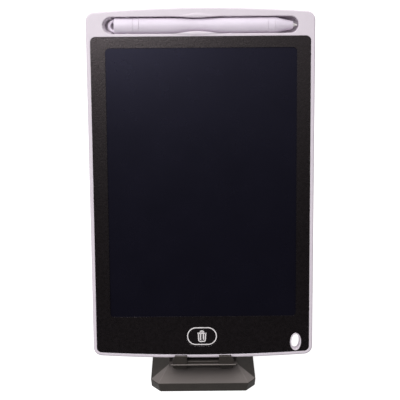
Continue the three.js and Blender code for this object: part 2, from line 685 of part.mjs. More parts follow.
function hookTray() {
  const side = [
    [TRAY_TOP, TRAY_FRONT], [TRAY_TOP - 0.4, TRAY_FRONT], [TRAY_BOTTOM, TRAY_FRONT - 0.8],
    [TRAY_BOTTOM, -7.2], [1.4, FLANGE.back], [FLANGE.top, FLANGE.back],
    [FLANGE.top, FLANGE.front], [2.2, FLANGE.front], [TRAY_TOP, -6.6],
  ];
  const shoulder = TRAY_FRONT - 2.6;
  const nose = TRAY_HALF - 2.2;
  const plan = [
    [-TRAY_HALF, -30], [TRAY_HALF, -30], [TRAY_HALF, shoulder],
    [nose, TRAY_FRONT + 1], [-nose, TRAY_FRONT + 1], [-TRAY_HALF, shoulder],
  ];
  const standing = new THREE.Matrix4().makeBasis(
    new THREE.Vector3(1, 0, 0),
    new THREE.Vector3(0, 0, 1),
    new THREE.Vector3(0, -1, 0),
  );
  const planShape = new THREE.Shape(plan.map(([x, z]) => new THREE.Vector2(x, z)));
  const planGeometry = new THREE.ExtrudeGeometry(planShape, { depth: 60, bevelEnabled: false });
  const planSolid = solidOf(planGeometry.translate(0, 0, -30).applyMatrix4(standing));
  const bracket = prismX(side, -TRAY_HALF, TRAY_HALF).intersect(planSolid);
  const face = [
    [PRONG.inner, TRAY_TOP - 0.5], [PRONG.outer, TRAY_TOP - 0.5], [PRONG.outer, PRONG.top - 3],
    [PRONG.outer - 1.8, PRONG.top], [PRONG.inner, PRONG.top],
  ];
  const mirrored = face.map(([x, y]) => [-x, y]).reverse();
  const prongs = [face, mirrored].map((outline) => prismZ(outline, PRONG.back, PRONG.front));
  const barHalf = PRONG.inner + 0.5;
  const bar = prismZ(box(-barHalf, TRAY_TOP - 0.5, barHalf, -1.5), PRONG.back, 2.6);
  const feet = [-1, 1].map((way) => {
    const middle = way * (PRONG.inner + PRONG.outer) / 2;
    const foot = { left: middle - 4.6, right: middle + 4.6, low: -6.4, high: TRAY_BOTTOM + 0.4, corner: 1 };
    return prismZ(roundedBox(foot, 0, 3), -4, 1.2);
  });
  const window = { left: -6, right: 6, low: 5, high: 12, corner: 2 };
  return cut(
    join(bracket, ...prongs, bar, ...feet),
    prismZ(roundedBox(window, 0, 3), SCREEN_ROOM.back, -11),
    ...drilled(TRAY_SCREWS_AT, SCREW_HOLE_RADIUS, SCREEN_ROOM.back, -11, 12),
  );
}

function trayPad(way) {
  const [inner, outer] = [PRONG.inner, PRONG.outer];
  const [left, right] = way > 0 ? [inner, outer] : [-outer, -inner];
  return prismZ(box(left, TRAY_TOP + GAP, right, -GAP), -6, -0.3);
}

// ---------------------------------------------------------------- hinges

function hingePin({ y, z }) {
  const shank = prismX(disc(y, z, PIN_RADIUS, 16), 1 - KNUCKLE_OUTER, KNUCKLE_OUTER - 2);
  const head = prismX(disc(y, z, 3.5, 16), KNUCKLE_OUTER - 2.4, KNUCKLE_OUTER - 0.4);
  const slot = prismX(box(y - 2.6, z - 0.4, y + 2.6, z + 0.4), KNUCKLE_OUTER - 1.1, 30);
  return cut(join(shank, head), slot);
}

function hingeNut({ y, z }) {
  const hexagon = prismX(disc(y, z, 3.6, 6), 0.4 - KNUCKLE_OUTER, 2.4 - KNUCKLE_OUTER);
  return cut(hexagon, prismX(disc(y, z, PIN_BORE, 16), -30, 0));
}

function hingeWasher({ y, z }, way) {
  const [inner, outer] = [BARREL_HALF + GAP, BARREL_HALF + GAP + WASHER_THICKNESS];
  const [low, high] = way > 0 ? [inner, outer] : [-outer, -inner];
  return cut(prismX(disc(y, z, 4.8, 16), low, high), prismX(disc(y, z, PIN_BORE, 16), -30, 30));
}

// ---------------------------------------------------------------- arm and base, in world axes

function tabletPoint(y, z) {
  return {
    y: TABLET_FOOT.y + y * Math.sin(LEAN) - z * Math.cos(LEAN),
    z: TABLET_FOOT.z + y * Math.cos(LEAN) + z * Math.sin(LEAN),
  };
}

function armLink() {
  const top = tabletPoint(CRADLE_PIVOT.y, CRADLE_PIVOT.z);
  const foot = BASE_PIVOT;
  const along = new THREE.Vector2(top.y - foot.y, top.z - foot.z).normalize();
  const across = new THREE.Vector2(-along.y, along.x).multiplyScalar(ARM_THICKNESS / 2);
  const bar = [
    [foot.y - across.x, foot.z - across.y], [top.y - across.x, top.z - across.y],
    [top.y + across.x, top.z + across.y], [foot.y + across.x, foot.z + across.y],
  ];
  return cut(
    join(
      prismX(bar, -BARREL_HALF, BARREL_HALF),
      prismX(disc(foot.y, foot.z, BARREL_RADIUS), -BARREL_HALF, BARREL_HALF),
      prismX(disc(top.y, top.z, BARREL_RADIUS - 0.3), -BARREL_HALF, BARREL_HALF),
    ),
    prismX(disc(foot.y, foot.z, PIN_BORE, 16), -30, 30),
    prismX(disc(top.y, top.z, PIN_BORE, 16), -30, 30),
  );
}

function deckPoints(half, front, rear, z) {
  const corners = box(-half, front, half, rear);
  return corners.map(([x, y]) => new THREE.Vector3(x, y, z));
}

function baseShell() {
  const { x: halfX, y: halfY } = BASE_HALF;
  const { y, z } = BASE_PIVOT;
  const outer = hullOf([
    ...octagon(halfX - BASE_DRAFT, halfY - BASE_DRAFT, BASE_FOOT_CHAMFER, BASE_BOTTOM),
    ...octagon(halfX, halfY, BASE_CHAMFER, BASE_EDGE),
    ...deckPoints(DECK.half, DECK.front, DECK.rear, DECK.height),
  ]);
  const knuckleSide = box(y - KNUCKLE_RADIUS, 8, y + KNUCKLE_RADIUS, z);
  const knuckles = [
    ...prismBothX(knuckleSide, KNUCKLE_INNER, KNUCKLE_OUTER),
    ...prismBothX(disc(y, z, KNUCKLE_RADIUS), KNUCKLE_INNER, KNUCKLE_OUTER),
  ];
  const { inset, chamfer } = BASE_ROOM;
  const room = hullOf([
    ...octagon(halfX - inset, halfY - inset, chamfer, BASE_BOTTOM - 1),
    ...octagon(halfX - inset, halfY - inset, chamfer, BASE_EDGE - 2),
    ...deckPoints(DECK.half - 1.5, DECK.front + 1, 22, DECK.height - 2.2),
  ]);
  const posts = drilled(BASE_SCREWS_AT, 3.2, 3.1, 20);
  const reach = BARREL_RADIUS + 0.5;
  const barrelRoom = join(
    prismX(disc(y, z, reach), -KNUCKLE_INNER, KNUCKLE_INNER),
    prismX(box(y - reach, z, y + reach, z + 10), -KNUCKLE_INNER, KNUCKLE_INNER),
  );
  return cut(
    join(outer, ...knuckles),
    cut(room, ...posts),
    barrelRoom,
    ...hingeBores(BASE_PIVOT),
    ...drilled(BASE_SCREWS_AT, SCREW_HOLE_RADIUS, 0, 6.2, 12),
  );
}

function baseBottomPlate() {
  const inset = BASE_ROOM.inset + GAP;
  const outline = octagon(BASE_HALF.x - inset, BASE_HALF.y - inset, BASE_ROOM.chamfer + 0.1, 0);
  return cut(
    prismZ(outline.map(({ x, y }) => [x, y]), 0.9, 2.9),
    ...drilled(BASE_SCREWS_AT, SCREW_HOLE_RADIUS, 0, 4, 12),
    ...drilled(BASE_SCREWS_AT, 2.2, 0, 2),
  );
}

function baseWeight() {
  const outline = { left: -22, right: 22, low: -24, high: 18, corner: 2 };
  return prismZ(roundedBox(outline, 0, 3), 3.1, 6.3);
}

function gripPad() {
  const outline = { left: -21, right: 21, low: -28, high: 28, corner: 5 };
  return prismZ(roundedBox(outline), 0, 0.7);
}

// ---------------------------------------------------------------- assembly

function mesh(name, solid, finish) {
  const piece = new THREE.Mesh(geometryOf(solid), new THREE.MeshStandardMaterial(finish));
  piece.name = name;
  return piece;
}

const tablet = new THREE.Group();
tablet.add(
  mesh('front_frame', frontFrame(), lilac),
  mesh('rear_cover', rearCover(), lilac),
  mesh('bezel_film', bezelFilm(), blackFilm),
  mesh('lcd_panel', displayPanel(), navyDisplay),
  mesh('lcd_backing', displayBacking(), blackPlastic),
  mesh('circuit_board', circuitBoard(), boardGreen),
  mesh('flex_tail', flexTail(), amberFilm),
  mesh('erase_dome_switch', domeSwitch(), steel),
  mesh('slide_switch_body', slideSwitch(), steel),
  mesh('coin_cell', coinCell(), steel),
  mesh('battery_contact_positive', contactPositive(), brass),
  mesh('battery_contact_negative', contactNegative(), brass),
  mesh('battery_lead_positive', batteryLead(10.9), redWire),
  mesh('battery_lead_negative', batteryLead(-10.9), blackWire),
  mesh('erase_button', eraseButton(), blackFilm),
  mesh('lock_slider', lockSlider(), lilac),
  mesh('battery_door', batteryDoor(), lilac),
  mesh('battery_door_screw', screw(...DOOR_SCREW_AT, -7.55, -4.75, 1.7, 0.75), steel),
);
SCREWS_AT.forEach(([x, y], i) => {
  tablet.add(mesh(`housing_screw_${i + 1}`, screw(x, y, -6.3, -2.9, 1.9, 1), steel));
});

const stylus = new THREE.Group();
stylus.add(
  mesh('stylus_end_cap', stylusEndCap(), lilacPen),
  mesh('stylus_rear_band', stylusBand(REAR_BAND), lilacPen),
  mesh('stylus_barrel', stylusBarrel(), lilacPen),
  mesh('stylus_front_band', stylusBand(FRONT_BAND), lilacPen),
  mesh('stylus_nose_cone', stylusNose(), lilacPen),
  mesh('stylus_nib', stylusNib(), whiteNylon),
);

const cradle = new THREE.Group();
cradle.add(
  mesh('cradle_plate', cradlePlate(), blackPlastic),
  mesh('cradle_pad', cradlePad(), blackRubber),
  mesh('hook_tray', hookTray(), blackPlastic),
  mesh('tray_pad_left', trayPad(-1), blackRubber),
  mesh('tray_pad_right', trayPad(1), blackRubber),
  mesh('tray_screw_left', screw(...TRAY_SCREWS_AT[0], -14.75, -9.8, 2.2, 1), steel),
  mesh('tray_screw_right', screw(...TRAY_SCREWS_AT[1], -14.75, -9.8, 2.2, 1), steel),
  mesh('cradle_hinge_pin', hingePin(CRADLE_PIVOT), steel),
  mesh('cradle_hinge_nut', hingeNut(CRADLE_PIVOT), steel),
  mesh('cradle_washer_left', hingeWasher(CRADLE_PIVOT, -1), whiteNylon),
  mesh('cradle_washer_right', hingeWasher(CRADLE_PIVOT, 1), whiteNylon),
);

// Everything that leans with the screen: the tablet with its stylus, and the cradle behind it.
const leaning = new THREE.Group();
leaning.position.copy(TABLET_FOOT);
leaning.rotation.x = Math.PI / 2 - LEAN;
tablet.add(stylus);
leaning.add(tablet, cradle);

const stand = new THREE.Group();
stand.add(
  mesh('arm_link', armLink(), blackPlastic),
  mesh('base_shell', baseShell(), blackPlastic),
  mesh('base_bottom_plate', baseBottomPlate(), blackPlastic),
  mesh('base_weight', baseWeight(), steel),
  mesh('base_grip_pad', gripPad(), blackRubber),
  mesh('arm_hinge_pin', hingePin(BASE_PIVOT), steel),
  mesh('arm_hinge_nut', hingeNut(BASE_PIVOT), steel),
  mesh('arm_washer_left', hingeWasher(BASE_PIVOT, -1), whiteNylon),
  mesh('arm_washer_right', hingeWasher(BASE_PIVOT, 1), whiteNylon),
);
BASE_SCREWS_AT.forEach(([x, y], i) => {
  stand.add(mesh(`base_screw_${i + 1}`, screw(x, y, 1.05, 6, 1.95, 1), steel));
});

const model = new THREE.Group();
model.add(leaning, stand);

export default model;
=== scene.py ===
"""An LCD writing tablet with its stylus on a folding desk stand: fine surfaces, looks, light and camera.

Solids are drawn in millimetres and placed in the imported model's frame, which is in metres.
The tablet and the cradle are drawn in the tablet's own axes: x across the screen, y up along it and
z out of it, from the middle of its bottom edge. The base and the arm are drawn in the frame's axes.
"""

import json
import math

import bmesh
import bpy
from mathutils import Matrix, Vector


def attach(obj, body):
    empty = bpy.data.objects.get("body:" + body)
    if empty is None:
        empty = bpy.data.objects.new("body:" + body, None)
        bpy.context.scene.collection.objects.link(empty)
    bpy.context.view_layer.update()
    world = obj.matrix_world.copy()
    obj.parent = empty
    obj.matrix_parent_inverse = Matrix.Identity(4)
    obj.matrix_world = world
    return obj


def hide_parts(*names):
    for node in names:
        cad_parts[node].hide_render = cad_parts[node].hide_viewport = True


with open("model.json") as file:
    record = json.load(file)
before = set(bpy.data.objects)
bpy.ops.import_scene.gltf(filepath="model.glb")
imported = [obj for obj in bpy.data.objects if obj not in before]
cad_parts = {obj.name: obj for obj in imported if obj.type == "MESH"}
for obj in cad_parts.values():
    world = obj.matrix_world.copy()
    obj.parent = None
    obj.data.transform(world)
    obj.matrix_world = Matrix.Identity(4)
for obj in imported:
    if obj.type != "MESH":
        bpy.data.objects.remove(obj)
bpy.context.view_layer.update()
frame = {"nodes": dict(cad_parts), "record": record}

MM = 0.001
BODY_OF = {
    node: body
    for body, nodes in frame["record"]["behaviour"]["bodies"].items()
    for node in nodes
}

# ---------------------------------------------------------------- dimensions, in millimetres

GAP = 0.2
# far enough to pass right through the hinges and the tray
THROUGH = 30
LEAN = math.radians(18.06)
TABLET_FOOT = Vector((0, -32.8, 20.7))

BODY_HEIGHT = 226.5
BODY_HALF_LOW = 72.1
BODY_HALF_HIGH = 72.6
BODY_CORNER = 5.6
BODY_BACK = -6.5
EDGE_ROUND = 1.2
ARCH_RADIUS = 1150
TOP_ARCH_RADIUS = 900
FRAME_SPLIT = -3.9
COVER_SPLIT = -4.1
PART_EDGE = 0.12
COVER_WALL = -5.4

FILM_HALF = 69.75
FILM_LOW = 2.35
FILM_HIGH = 208.6
FILM_CORNER = 3.2
WINDOW = {"left": -60.5, "right": 61, "low": 27.9, "high": 201.5, "corner": 2.5}
FILM_FRONT = -0.1
FILM_BACK = -0.5
FRONT_WALL_BACK = -1.6
POCKET_BACK = -2.4
PANEL = {"left": -65, "right": 65, "low": 26.6, "high": 204.4, "corner": 1}
PANEL_FRONT = -0.7
PANEL_BACK = -1.6
BULKHEAD_BACK = -3.4

BUTTON_AT = (-0.6, 14.5)
BUTTON_SIZE = (20.9, 13.1)
BUTTON_TOP = -0.12
BUTTON_GAP = 0.25
BUTTON_FLANGE = 1.2
PRINT_SIDES = (BUTTON_TOP - 0.03, BUTTON_TOP + 0.05)
RING_AT = (-0.6, 14.7)
RING_SIZE = (19.6, 11.9)
RING_LINE = 0.66

LANYARD_AT = (61, 10.4)
LANYARD_HOLE = (5.4, 9.9)
LANYARD_RIM = (7.2, 11.8)

PEN_Y = 215.7
PEN_Z = -4.2
PEN_RADIUS = 5
SLOT_LENGTH = 123.8
SLOT_HEIGHT = 10.6
SLOT_FLOOR = -9.4
SLOT_EDGE = 0.5
RIDGE_BACK = -10.7
LIP_MIDDLE = -2.3
LIP_UPPER = {"half": 15.5, "reach": 0.7, "outer": 2.2}
LIP_LOWER = {"half": 17.5, "reach": 1.5, "outer": 1.2}
LIP_PROUD = 0.5
WAIST = {"half": 19.5, "narrower": 0.9, "raised": 0.4}
SNAP_AT = (-46.2, 18.5)

CELL_AT = (0, 112)
CELL_RADIUS = 10
DOOR = {"left": -15, "right": 15, "low": 91, "high": 126, "corner": 2.5}
DOOR_SCREW_AT = (0, 95)
SLIDER_AT = (49, 15)
SLIDER_SIZE = (8, 5)
SLIDER_TRAVEL = 3
SCREWS_AT = ((-65, 21), (65, 21), (-64, 200), (64, 200))
POST_RADIUS = 3
ELECTRONICS = {"left": -69, "right": 69, "low": 5.5, "high": 25.4, "corner": 3}
UPPER = {"left": -68.5, "right": 68.5, "low": 24, "high": 206, "corner": 3}

PLATE_FRONT = -9
PLATE_BACK = -11.6
CRADLE_PIVOT = (50, -18)
TRAY_SCREWS_AT = ((-12, 11), (12, 11))
TRAY_HALF = 22.6
TRAY_TOP = -3
TRAY_BOTTOM = -4.2
TRAY_FRONT = 4.8
PRONG_INNER = 10.5
PRONG_OUTER = 20.1
PRONG_TOP = 2.3
PRONG_BACK = 0.8
PRONG_FRONT = 4
FLANGE_FRONT = -11.8
FLANGE_BACK = -13.6
FLANGE_TOP = 16

BASE_HALF_X = 34.7
BASE_HALF_Y = 41.5
BASE_DRAFT = 0.3
BASE_WALL = 3
BASE_BOTTOM = 0.2
FOOT_CHAMFER = 6.2
DECK_EDGE_CHAMFER = 5.1
BASE_EDGE = 6.6
DECK_HALF = 22.9
DECK_FRONT = -25.8
DECK_REAR = 32
DECK_HEIGHT = 11
BASE_PIVOT = (31, 16)
BASE_SCREWS_AT = ((-25, -32), (25, -32), (-25, 32), (25, 32))
PIN_RADIUS = 2
PIN_BORE = 2.15
BARREL_HALF = 11.6
BARREL_RADIUS = 5.6
WASHER_THICKNESS = 0.7
KNUCKLE_INNER = 12.7
KNUCKLE_OUTER = 19.4
KNUCKLE_RADIUS = 6.4
ARM_THICKNESS = 7
SEAT_DEPTH = 2.6

WORLD = Matrix.Scale(MM, 4)
TABLET = (
    WORLD
    @ Matrix.Translation(TABLET_FOOT)
    @ Matrix.Rotation(math.pi / 2 - LEAN, 4, "X")
)

# ---------------------------------------------------------------- outlines

def arc(x, y, radius, start, end, steps):
    """Points on a circle, from one angle in degrees to another."""
    points = []
    for i in range(steps + 1):
        angle = math.radians(start + (end - start) * i / steps)
        points.append((x + radius * math.cos(angle), y + radius * math.sin(angle)))
    return points


def disc(x, y, radius, steps=48):
    """A circle's outline; grow adds to its radius."""
    return lambda grow: arc(x, y, max(radius + grow, 0), 0, 360 - 360 / steps, steps - 1)


def rounded_box(left, right, low, high, corner, steps=8):
    """The outline of a rectangle with round corners."""

    def outline(grow):
        radius = max(corner + grow, 0.05)
        x0, x1, y0, y1 = left - grow, right + grow, low - grow, high + grow
        return (
            arc(x0 + radius, y0 + radius, radius, 180, 270, steps)
            + arc(x1 - radius, y0 + radius, radius, 270, 360, steps)
            + arc(x1 - radius, y1 - radius, radius, 0, 90, steps)
            + arc(x0 + radius, y1 - radius, radius, 90, 180, steps)
        )

    return outline


def oval(centre, size, steps=48):
    """The outline of an ellipse; grow adds to its half axes."""
    (x, y), (width, height) = centre, size

    def outline(grow):
        turns = [2 * math.pi * i / steps for i in range(steps)]
        return [
            (x + (width / 2 + grow) * math.cos(a), y + (height / 2 + grow) * math.sin(a)) for a in turns
        ]

    return outline


def pill(centre, size, steps=24):
    """The outline of a slot with two half-round ends on its longer axis."""
    (x, y), (width, height) = centre, size

    def outline(grow):
        radius = min(width, height) / 2
        dx, dy = width / 2 - radius, height / 2 - radius
        if dx > dy:
            return (
                arc(x + dx, y, radius + grow, -90, 90, steps)
                + arc(x - dx, y, radius + grow, 90, 270, steps)
            )
        return (
            arc(x, y + dy, radius + grow, 0, 180, steps)
            + arc(x, y - dy, radius + grow, 180, 360, steps)
        )

    return outline


def panel(half_low, half_high, low, high, arch_low, arch_high, corner, steps=10, arch_steps=48):
    """The outline of a tall panel with round corners, whose ends are shallow arches or straight."""

    def outline(grow):
        radius = max(corner + grow, 0.3)
        x_low, x_high = half_low + grow - radius, half_high + grow - radius

        def sag(x, arch):
            return x * x / (2 * arch) if arch else 0

        y_low = low - grow + radius + sag(x_low, arch_low)
        y_high = high + grow - radius - sag(x_high, arch_high)
        across = [-1 + 2 * i / arch_steps for i in range(1, arch_steps)]
        return (
            arc(-x_low, y_low, radius, 180, 270, steps)
            + [(x_low * t, low - grow + sag(x_low * t, arch_low)) for t in across]
            + arc(x_low, y_low, radius, 270, 360, steps)
            + arc(x_high, y_high, radius, 0, 90, steps)
            + [(-x_high * t, high + grow - sag(x_high * t, arch_high)) for t in across]
            + arc(-x_high, y_high, radius, 90, 180, steps)
        )

    return outline


def offset(points, grow):
    """A closed anticlockwise outline moved outwards by grow, with mitred corners."""
    moved = []
    for i, (x, y) in enumerate(points):
        here = Vector((x, y))
        before = (here - Vector(points[i - 1])).normalized()
        after = (Vector(points[(i + 1) % len(points)]) - here).normalized()
        sides = [Vector((way.y, -way.x)) for way in (before, after)]
        mitre = (sides[0] + sides[1]).normalized()
        moved.append(tuple(here + mitre * (grow / max(mitre.dot(sides[0]), 0.3))))
    return moved


def eased(points, radius, steps=4):
    """A closed outline with each corner turned into a short curve."""
    curve = []
    for i, corner in enumerate(points):
        here = Vector(corner)
        before, after = Vector(points[i - 1]) - here, Vector(points[(i + 1) % len(points)]) - here
        reach = min(radius, before.length * 0.45, after.length * 0.45)
        start, end = here + before.normalized() * reach, here + after.normalized() * reach
        for k in range(steps + 1):
            t = k / steps
            curve.append(tuple(start * (1 - t) ** 2 + here * 2 * t * (1 - t) + end * t * t))
    return curve


def shape(points, radius=0.0):
    """An outline from corner points, anticlockwise, with its corners eased."""
    drawn = eased(points, radius) if radius else list(points)
    return lambda grow: offset(drawn, grow) if grow else drawn


# ---------------------------------------------------------------- profiles: lists of (grow, height)

def rounded(low, high, low_round, high_round, steps=4):
    """The side of a slab whose lower and upper edges are rounded."""
    turns = [math.pi / 2 * i / steps for i in range(steps + 1)]
    lower = [(low_round * (math.sin(a) - 1), low + low_round * (1 - math.cos(a))) for a in turns]
    upper = [(high_round * (math.cos(a) - 1), high - high_round * (1 - math.sin(a))) for a in turns]
    return (lower if low_round else [(0, low)]) + (upper if high_round else [(0, high)])


def flared(deep, surface, radius, floor_round=0.0, steps=4):
    """The side of a cutter whose opening at the surface is left with a rounded rim."""
    way = 1 if surface > deep else -1
    turns = [math.pi / 2 * i / steps for i in range(steps + 1)]
    floor = [
        (floor_round * (math.sin(a) - 1), deep + way * floor_round * (1 - math.cos(a))) for a in turns
    ]
    rim = [(radius * (1 - math.cos(a)), surface - way * radius * (1 - math.sin(a))) for a in turns]
    return (floor if floor_round else [(0, deep)]) + rim + [(radius, surface + way * 3)]


# ---------------------------------------------------------------- solids

def as_object(bm):
    """A scene object from a bmesh, with doubled points joined and its faces pointing out."""
    bmesh.ops.remove_doubles(bm, verts=bm.verts, dist=1e-5)
    bmesh.ops.recalc_face_normals(bm, faces=bm.faces)
    mesh = bpy.data.meshes.new("solid")
    bm.to_mesh(mesh)
    bm.free()
    piece = bpy.data.objects.new("solid", mesh)
    bpy.context.scene.collection.objects.link(piece)
    return piece


def loft(outline, profile, closed=False):
    """A solid whose outline is carried through every (grow, height) of the profile."""
    bm = bmesh.new()
    rings = [[bm.verts.new((x, y, z)) for x, y in outline(grow)] for grow, z in profile]
    pairs = list(zip(rings, rings[1:]))
    if closed:
        pairs.append((rings[-1], rings[0]))
    else:
        bm.faces.new(rings[0])
        bm.faces.new(rings[-1])
    for low, high in pairs:
        for i, corner in enumerate(low):
            j = (i + 1) % len(low)
            bm.faces.new((corner, low[j], high[j], high[i]))
    return as_object(bm)


def prism(outline, low, high, edge=0.0):
    """A straight slab of an outline, its edges rounded by edge."""
    return loft(outline, rounded(low, high, edge, edge))


def turned(profile, closed=False, steps=72):
    """A solid turned about the z axis from [(radius, height), ...]."""
    return loft(disc(0, 0, 0, steps), profile, closed)


def moved(piece, matrix):
    """The piece with the matrix applied to its points. A mirroring keeps the faces pointing out."""
    piece.data.transform(matrix)
    if matrix.determinant() < 0:
        piece.data.flip_normals()
    return piece


def along_x(piece):
    """Turns a solid drawn in (y, z) and upwards in x into place."""
    return moved(piece, Matrix(((0, 0, 1, 0), (1, 0, 0, 0), (0, 1, 0, 0), (0, 0, 0, 1))))


def bar_x(outline, low, high, edge=0.0):
    """A prism along x of an outline drawn in (y, z)."""
    return along_x(prism(outline, low, high, edge))


def both_sides(outline, inner, outer, edge):
    """The same prism along x on the left and on the right."""
    return [bar_x(outline, -outer, -inner, edge), bar_x(outline, inner, outer, edge)]


def hull(points, edge):
    """The convex solid round some points, with its edges rounded."""
    bm = bmesh.new()
    for point in points:
        bm.verts.new(point)
    bmesh.ops.convex_hull(bm, input=bm.verts)
    bmesh.ops.dissolve_limit(bm, angle_limit=math.radians(1), verts=bm.verts, edges=bm.edges)
    if edge:
        bmesh.ops.bevel(
            bm, geom=bm.edges, offset=edge, offset_type="OFFSET", segments=3, profile=0.5, affect="EDGES"
        )
    return as_object(bm)


def sweep(path, radius, steps=16):
    """A round tube with closed ends along a path of points in the plane z = 0."""
    bm = bmesh.new()
    rings = []
    for i, here in enumerate(path):
        way = (path[min(i + 1, len(path) - 1)] - path[max(i - 1, 0)]).normalized()
        side = Vector((-way.y, way.x, 0))
        ring = []
        for k in range(steps):
            angle = 2 * math.pi * k / steps
            around = side * math.cos(angle) + Vector((0, 0, math.sin(angle)))
            ring.append(bm.verts.new(here + around * radius))
        rings.append(ring)
    bm.faces.new(rings[0])
    bm.faces.new(rings[-1])
    for low, high in zip(rings, rings[1:]):
        for i in range(steps):
            j = (i + 1) % steps
            bm.faces.new((low[i], low[j], high[j], high[i]))
    return as_object(bm)


def combined(operation, base, tools):
    """Joins the tools to the base, or cuts them from it, and removes the tools."""
    for tool in tools:
        step = base.modifiers.new(operation, "BOOLEAN")
        step.operation = operation
        step.solver = "MANIFOLD"
        step.object = tool
    depsgraph = bpy.context.evaluated_depsgraph_get()
    result = bpy.data.meshes.new_from_object(base.evaluated_get(depsgraph))
    base.modifiers.clear()
    base.data = result
    for tool in tools:
        bpy.data.objects.remove(tool)
    return base


def join(base, *tools):
    return combined("UNION", base, tools)


def cut(base, *tools):
    return combined("DIFFERENCE", base, tools)


def common(base, *tools):
    return combined("INTERSECT", base, tools)


def drilled(places, low, high, radius, steps=24):
    """One round cutter at each place."""
    return [prism(disc(x, y, radius, steps), low, high) for x, y in places]


# ---------------------------------------------------------------- materials

FINISH = "_finish"
# how upright a face's normal has to be, as its z, for the painted light on faces looking up to start and
# to be full
TOP_LIGHT_STARTS = 0.945
TOP_LIGHT_FULL = 0.970
# the part of a noise's range that its values mostly fall in
NOISE_LOW = 0.3
NOISE_HIGH = 0.7


def material(slot, dark, light, roughness, specular=0.5, metallic=0.0, mottle=0.02, grain=0.0004,
             depth=0.00001, rough_spread=0.06, glint=(1, 1, 1), top_light=None):
    """The finish of one of the record's slots: colour mottled between two shades, with a bumpy grain.

    mottle is the size of the colour's patches and grain that of the bumps, both in metres.
    glint is the colour of its reflections. top_light is painted light: faces looking up are mixed towards
    this lighter colour, in place of the overhead light they catch.
    """
    made = bpy.data.materials.new(slot + FINISH)
    made.use_nodes = True
    nodes, links = made.node_tree.nodes, made.node_tree.links
    shader = nodes["Principled BSDF"]
    place = nodes.new("ShaderNodeTexCoord")

    def noise(size, detail, rough=0.5):
        made_noise = nodes.new("ShaderNodeTexNoise")
        made_noise.inputs["Scale"].default_value = 1 / size
        made_noise.inputs["Detail"].default_value = detail
        made_noise.inputs["Roughness"].default_value = rough
        links.new(place.outputs["Object"], made_noise.inputs["Vector"])
        return made_noise.outputs["Fac"]

    tint = nodes.new("ShaderNodeValToRGB")
    tint.color_ramp.elements[0].position = NOISE_LOW
    tint.color_ramp.elements[0].color = (*dark, 1)
    tint.color_ramp.elements[1].position = NOISE_HIGH
    tint.color_ramp.elements[1].color = (*light, 1)
    links.new(noise(mottle, 4), tint.inputs["Fac"])
    # painted light: faces whose normals point up are mixed towards a lighter colour, standing in for the
    # overhead light they catch
    if top_light:
        surface = nodes.new("ShaderNodeNewGeometry")
        parts = nodes.new("ShaderNodeSeparateXYZ")
        upward = nodes.new("ShaderNodeMapRange")
        upward.inputs["From Min"].default_value = TOP_LIGHT_STARTS
        upward.inputs["From Max"].default_value = TOP_LIGHT_FULL
        top_light_mix = nodes.new("ShaderNodeMixRGB")
        top_light_mix.inputs["Color2"].default_value = (*top_light, 1)
        links.new(surface.outputs["Normal"], parts.inputs["Vector"])
        links.new(parts.outputs["Z"], upward.inputs["Value"])
        links.new(upward.outputs["Result"], top_light_mix.inputs["Fac"])
        links.new(tint.outputs["Color"], top_light_mix.inputs["Color1"])
        links.new(top_light_mix.outputs["Color"], shader.inputs["Base Color"])
    else:
        links.new(tint.outputs["Color"], shader.inputs["Base Color"])

    gloss = nodes.new("ShaderNodeMapRange")
    gloss.inputs["From Min"].default_value = NOISE_LOW
    gloss.inputs["From Max"].default_value = NOISE_HIGH
    gloss.inputs["To Min"].default_value = roughness - rough_spread
    gloss.inputs["To Max"].default_value = roughness + rough_spread
    links.new(noise(mottle / 3, 3), gloss.inputs["Value"])
    links.new(gloss.outputs["Result"], shader.inputs["Roughness"])

    bump = nodes.new("ShaderNodeBump")
    bump.inputs["Distance"].default_value = depth
    links.new(noise(grain, 2), bump.inputs["Height"])
    links.new(bump.outputs["Normal"], shader.inputs["Normal"])

    shader.inputs["Metallic"].default_value = metallic
    shader.inputs["Specular IOR Level"].default_value = specular
    shader.inputs["Specular Tint"].default_value = (*glint, 1)
    return made


LILAC = material("housing_plastic", (0.67, 0.603, 0.665), (0.69, 0.622, 0.685), 0.45, 0.4,
                 mottle=0.004, depth=0.000012)
LILAC_PEN = material("stylus_plastic", (0.71, 0.635, 0.73), (0.75, 0.675, 0.77), 0.45, 0.3,
                     depth=0.000006)
FILM = material("bezel_film", (0.0018, 0.0013, 0.0016), (0.0055, 0.0043, 0.0050), 0.27, 0.5,
                mottle=0.002, grain=0.001, depth=0.00004, rough_spread=0.03, glint=(1.0, 0.87, 0.91))
DISPLAY = material("display_layer", (0.0030, 0.0027, 0.0055), (0.0040, 0.0036, 0.0072), 0.27, 0.30,
                   mottle=0.03, grain=0.0012, depth=0.000004, rough_spread=0.006,
                   glint=(0.66, 0.64, 1.0))
BACKING = material("backing_sheet", (0.01, 0.01, 0.01), (0.016, 0.016, 0.016), 0.6)
WHITE_PRINT = material("white_print", (0.70, 0.66, 0.67), (0.78, 0.74, 0.75), 0.5, 0.3, mottle=0.001)
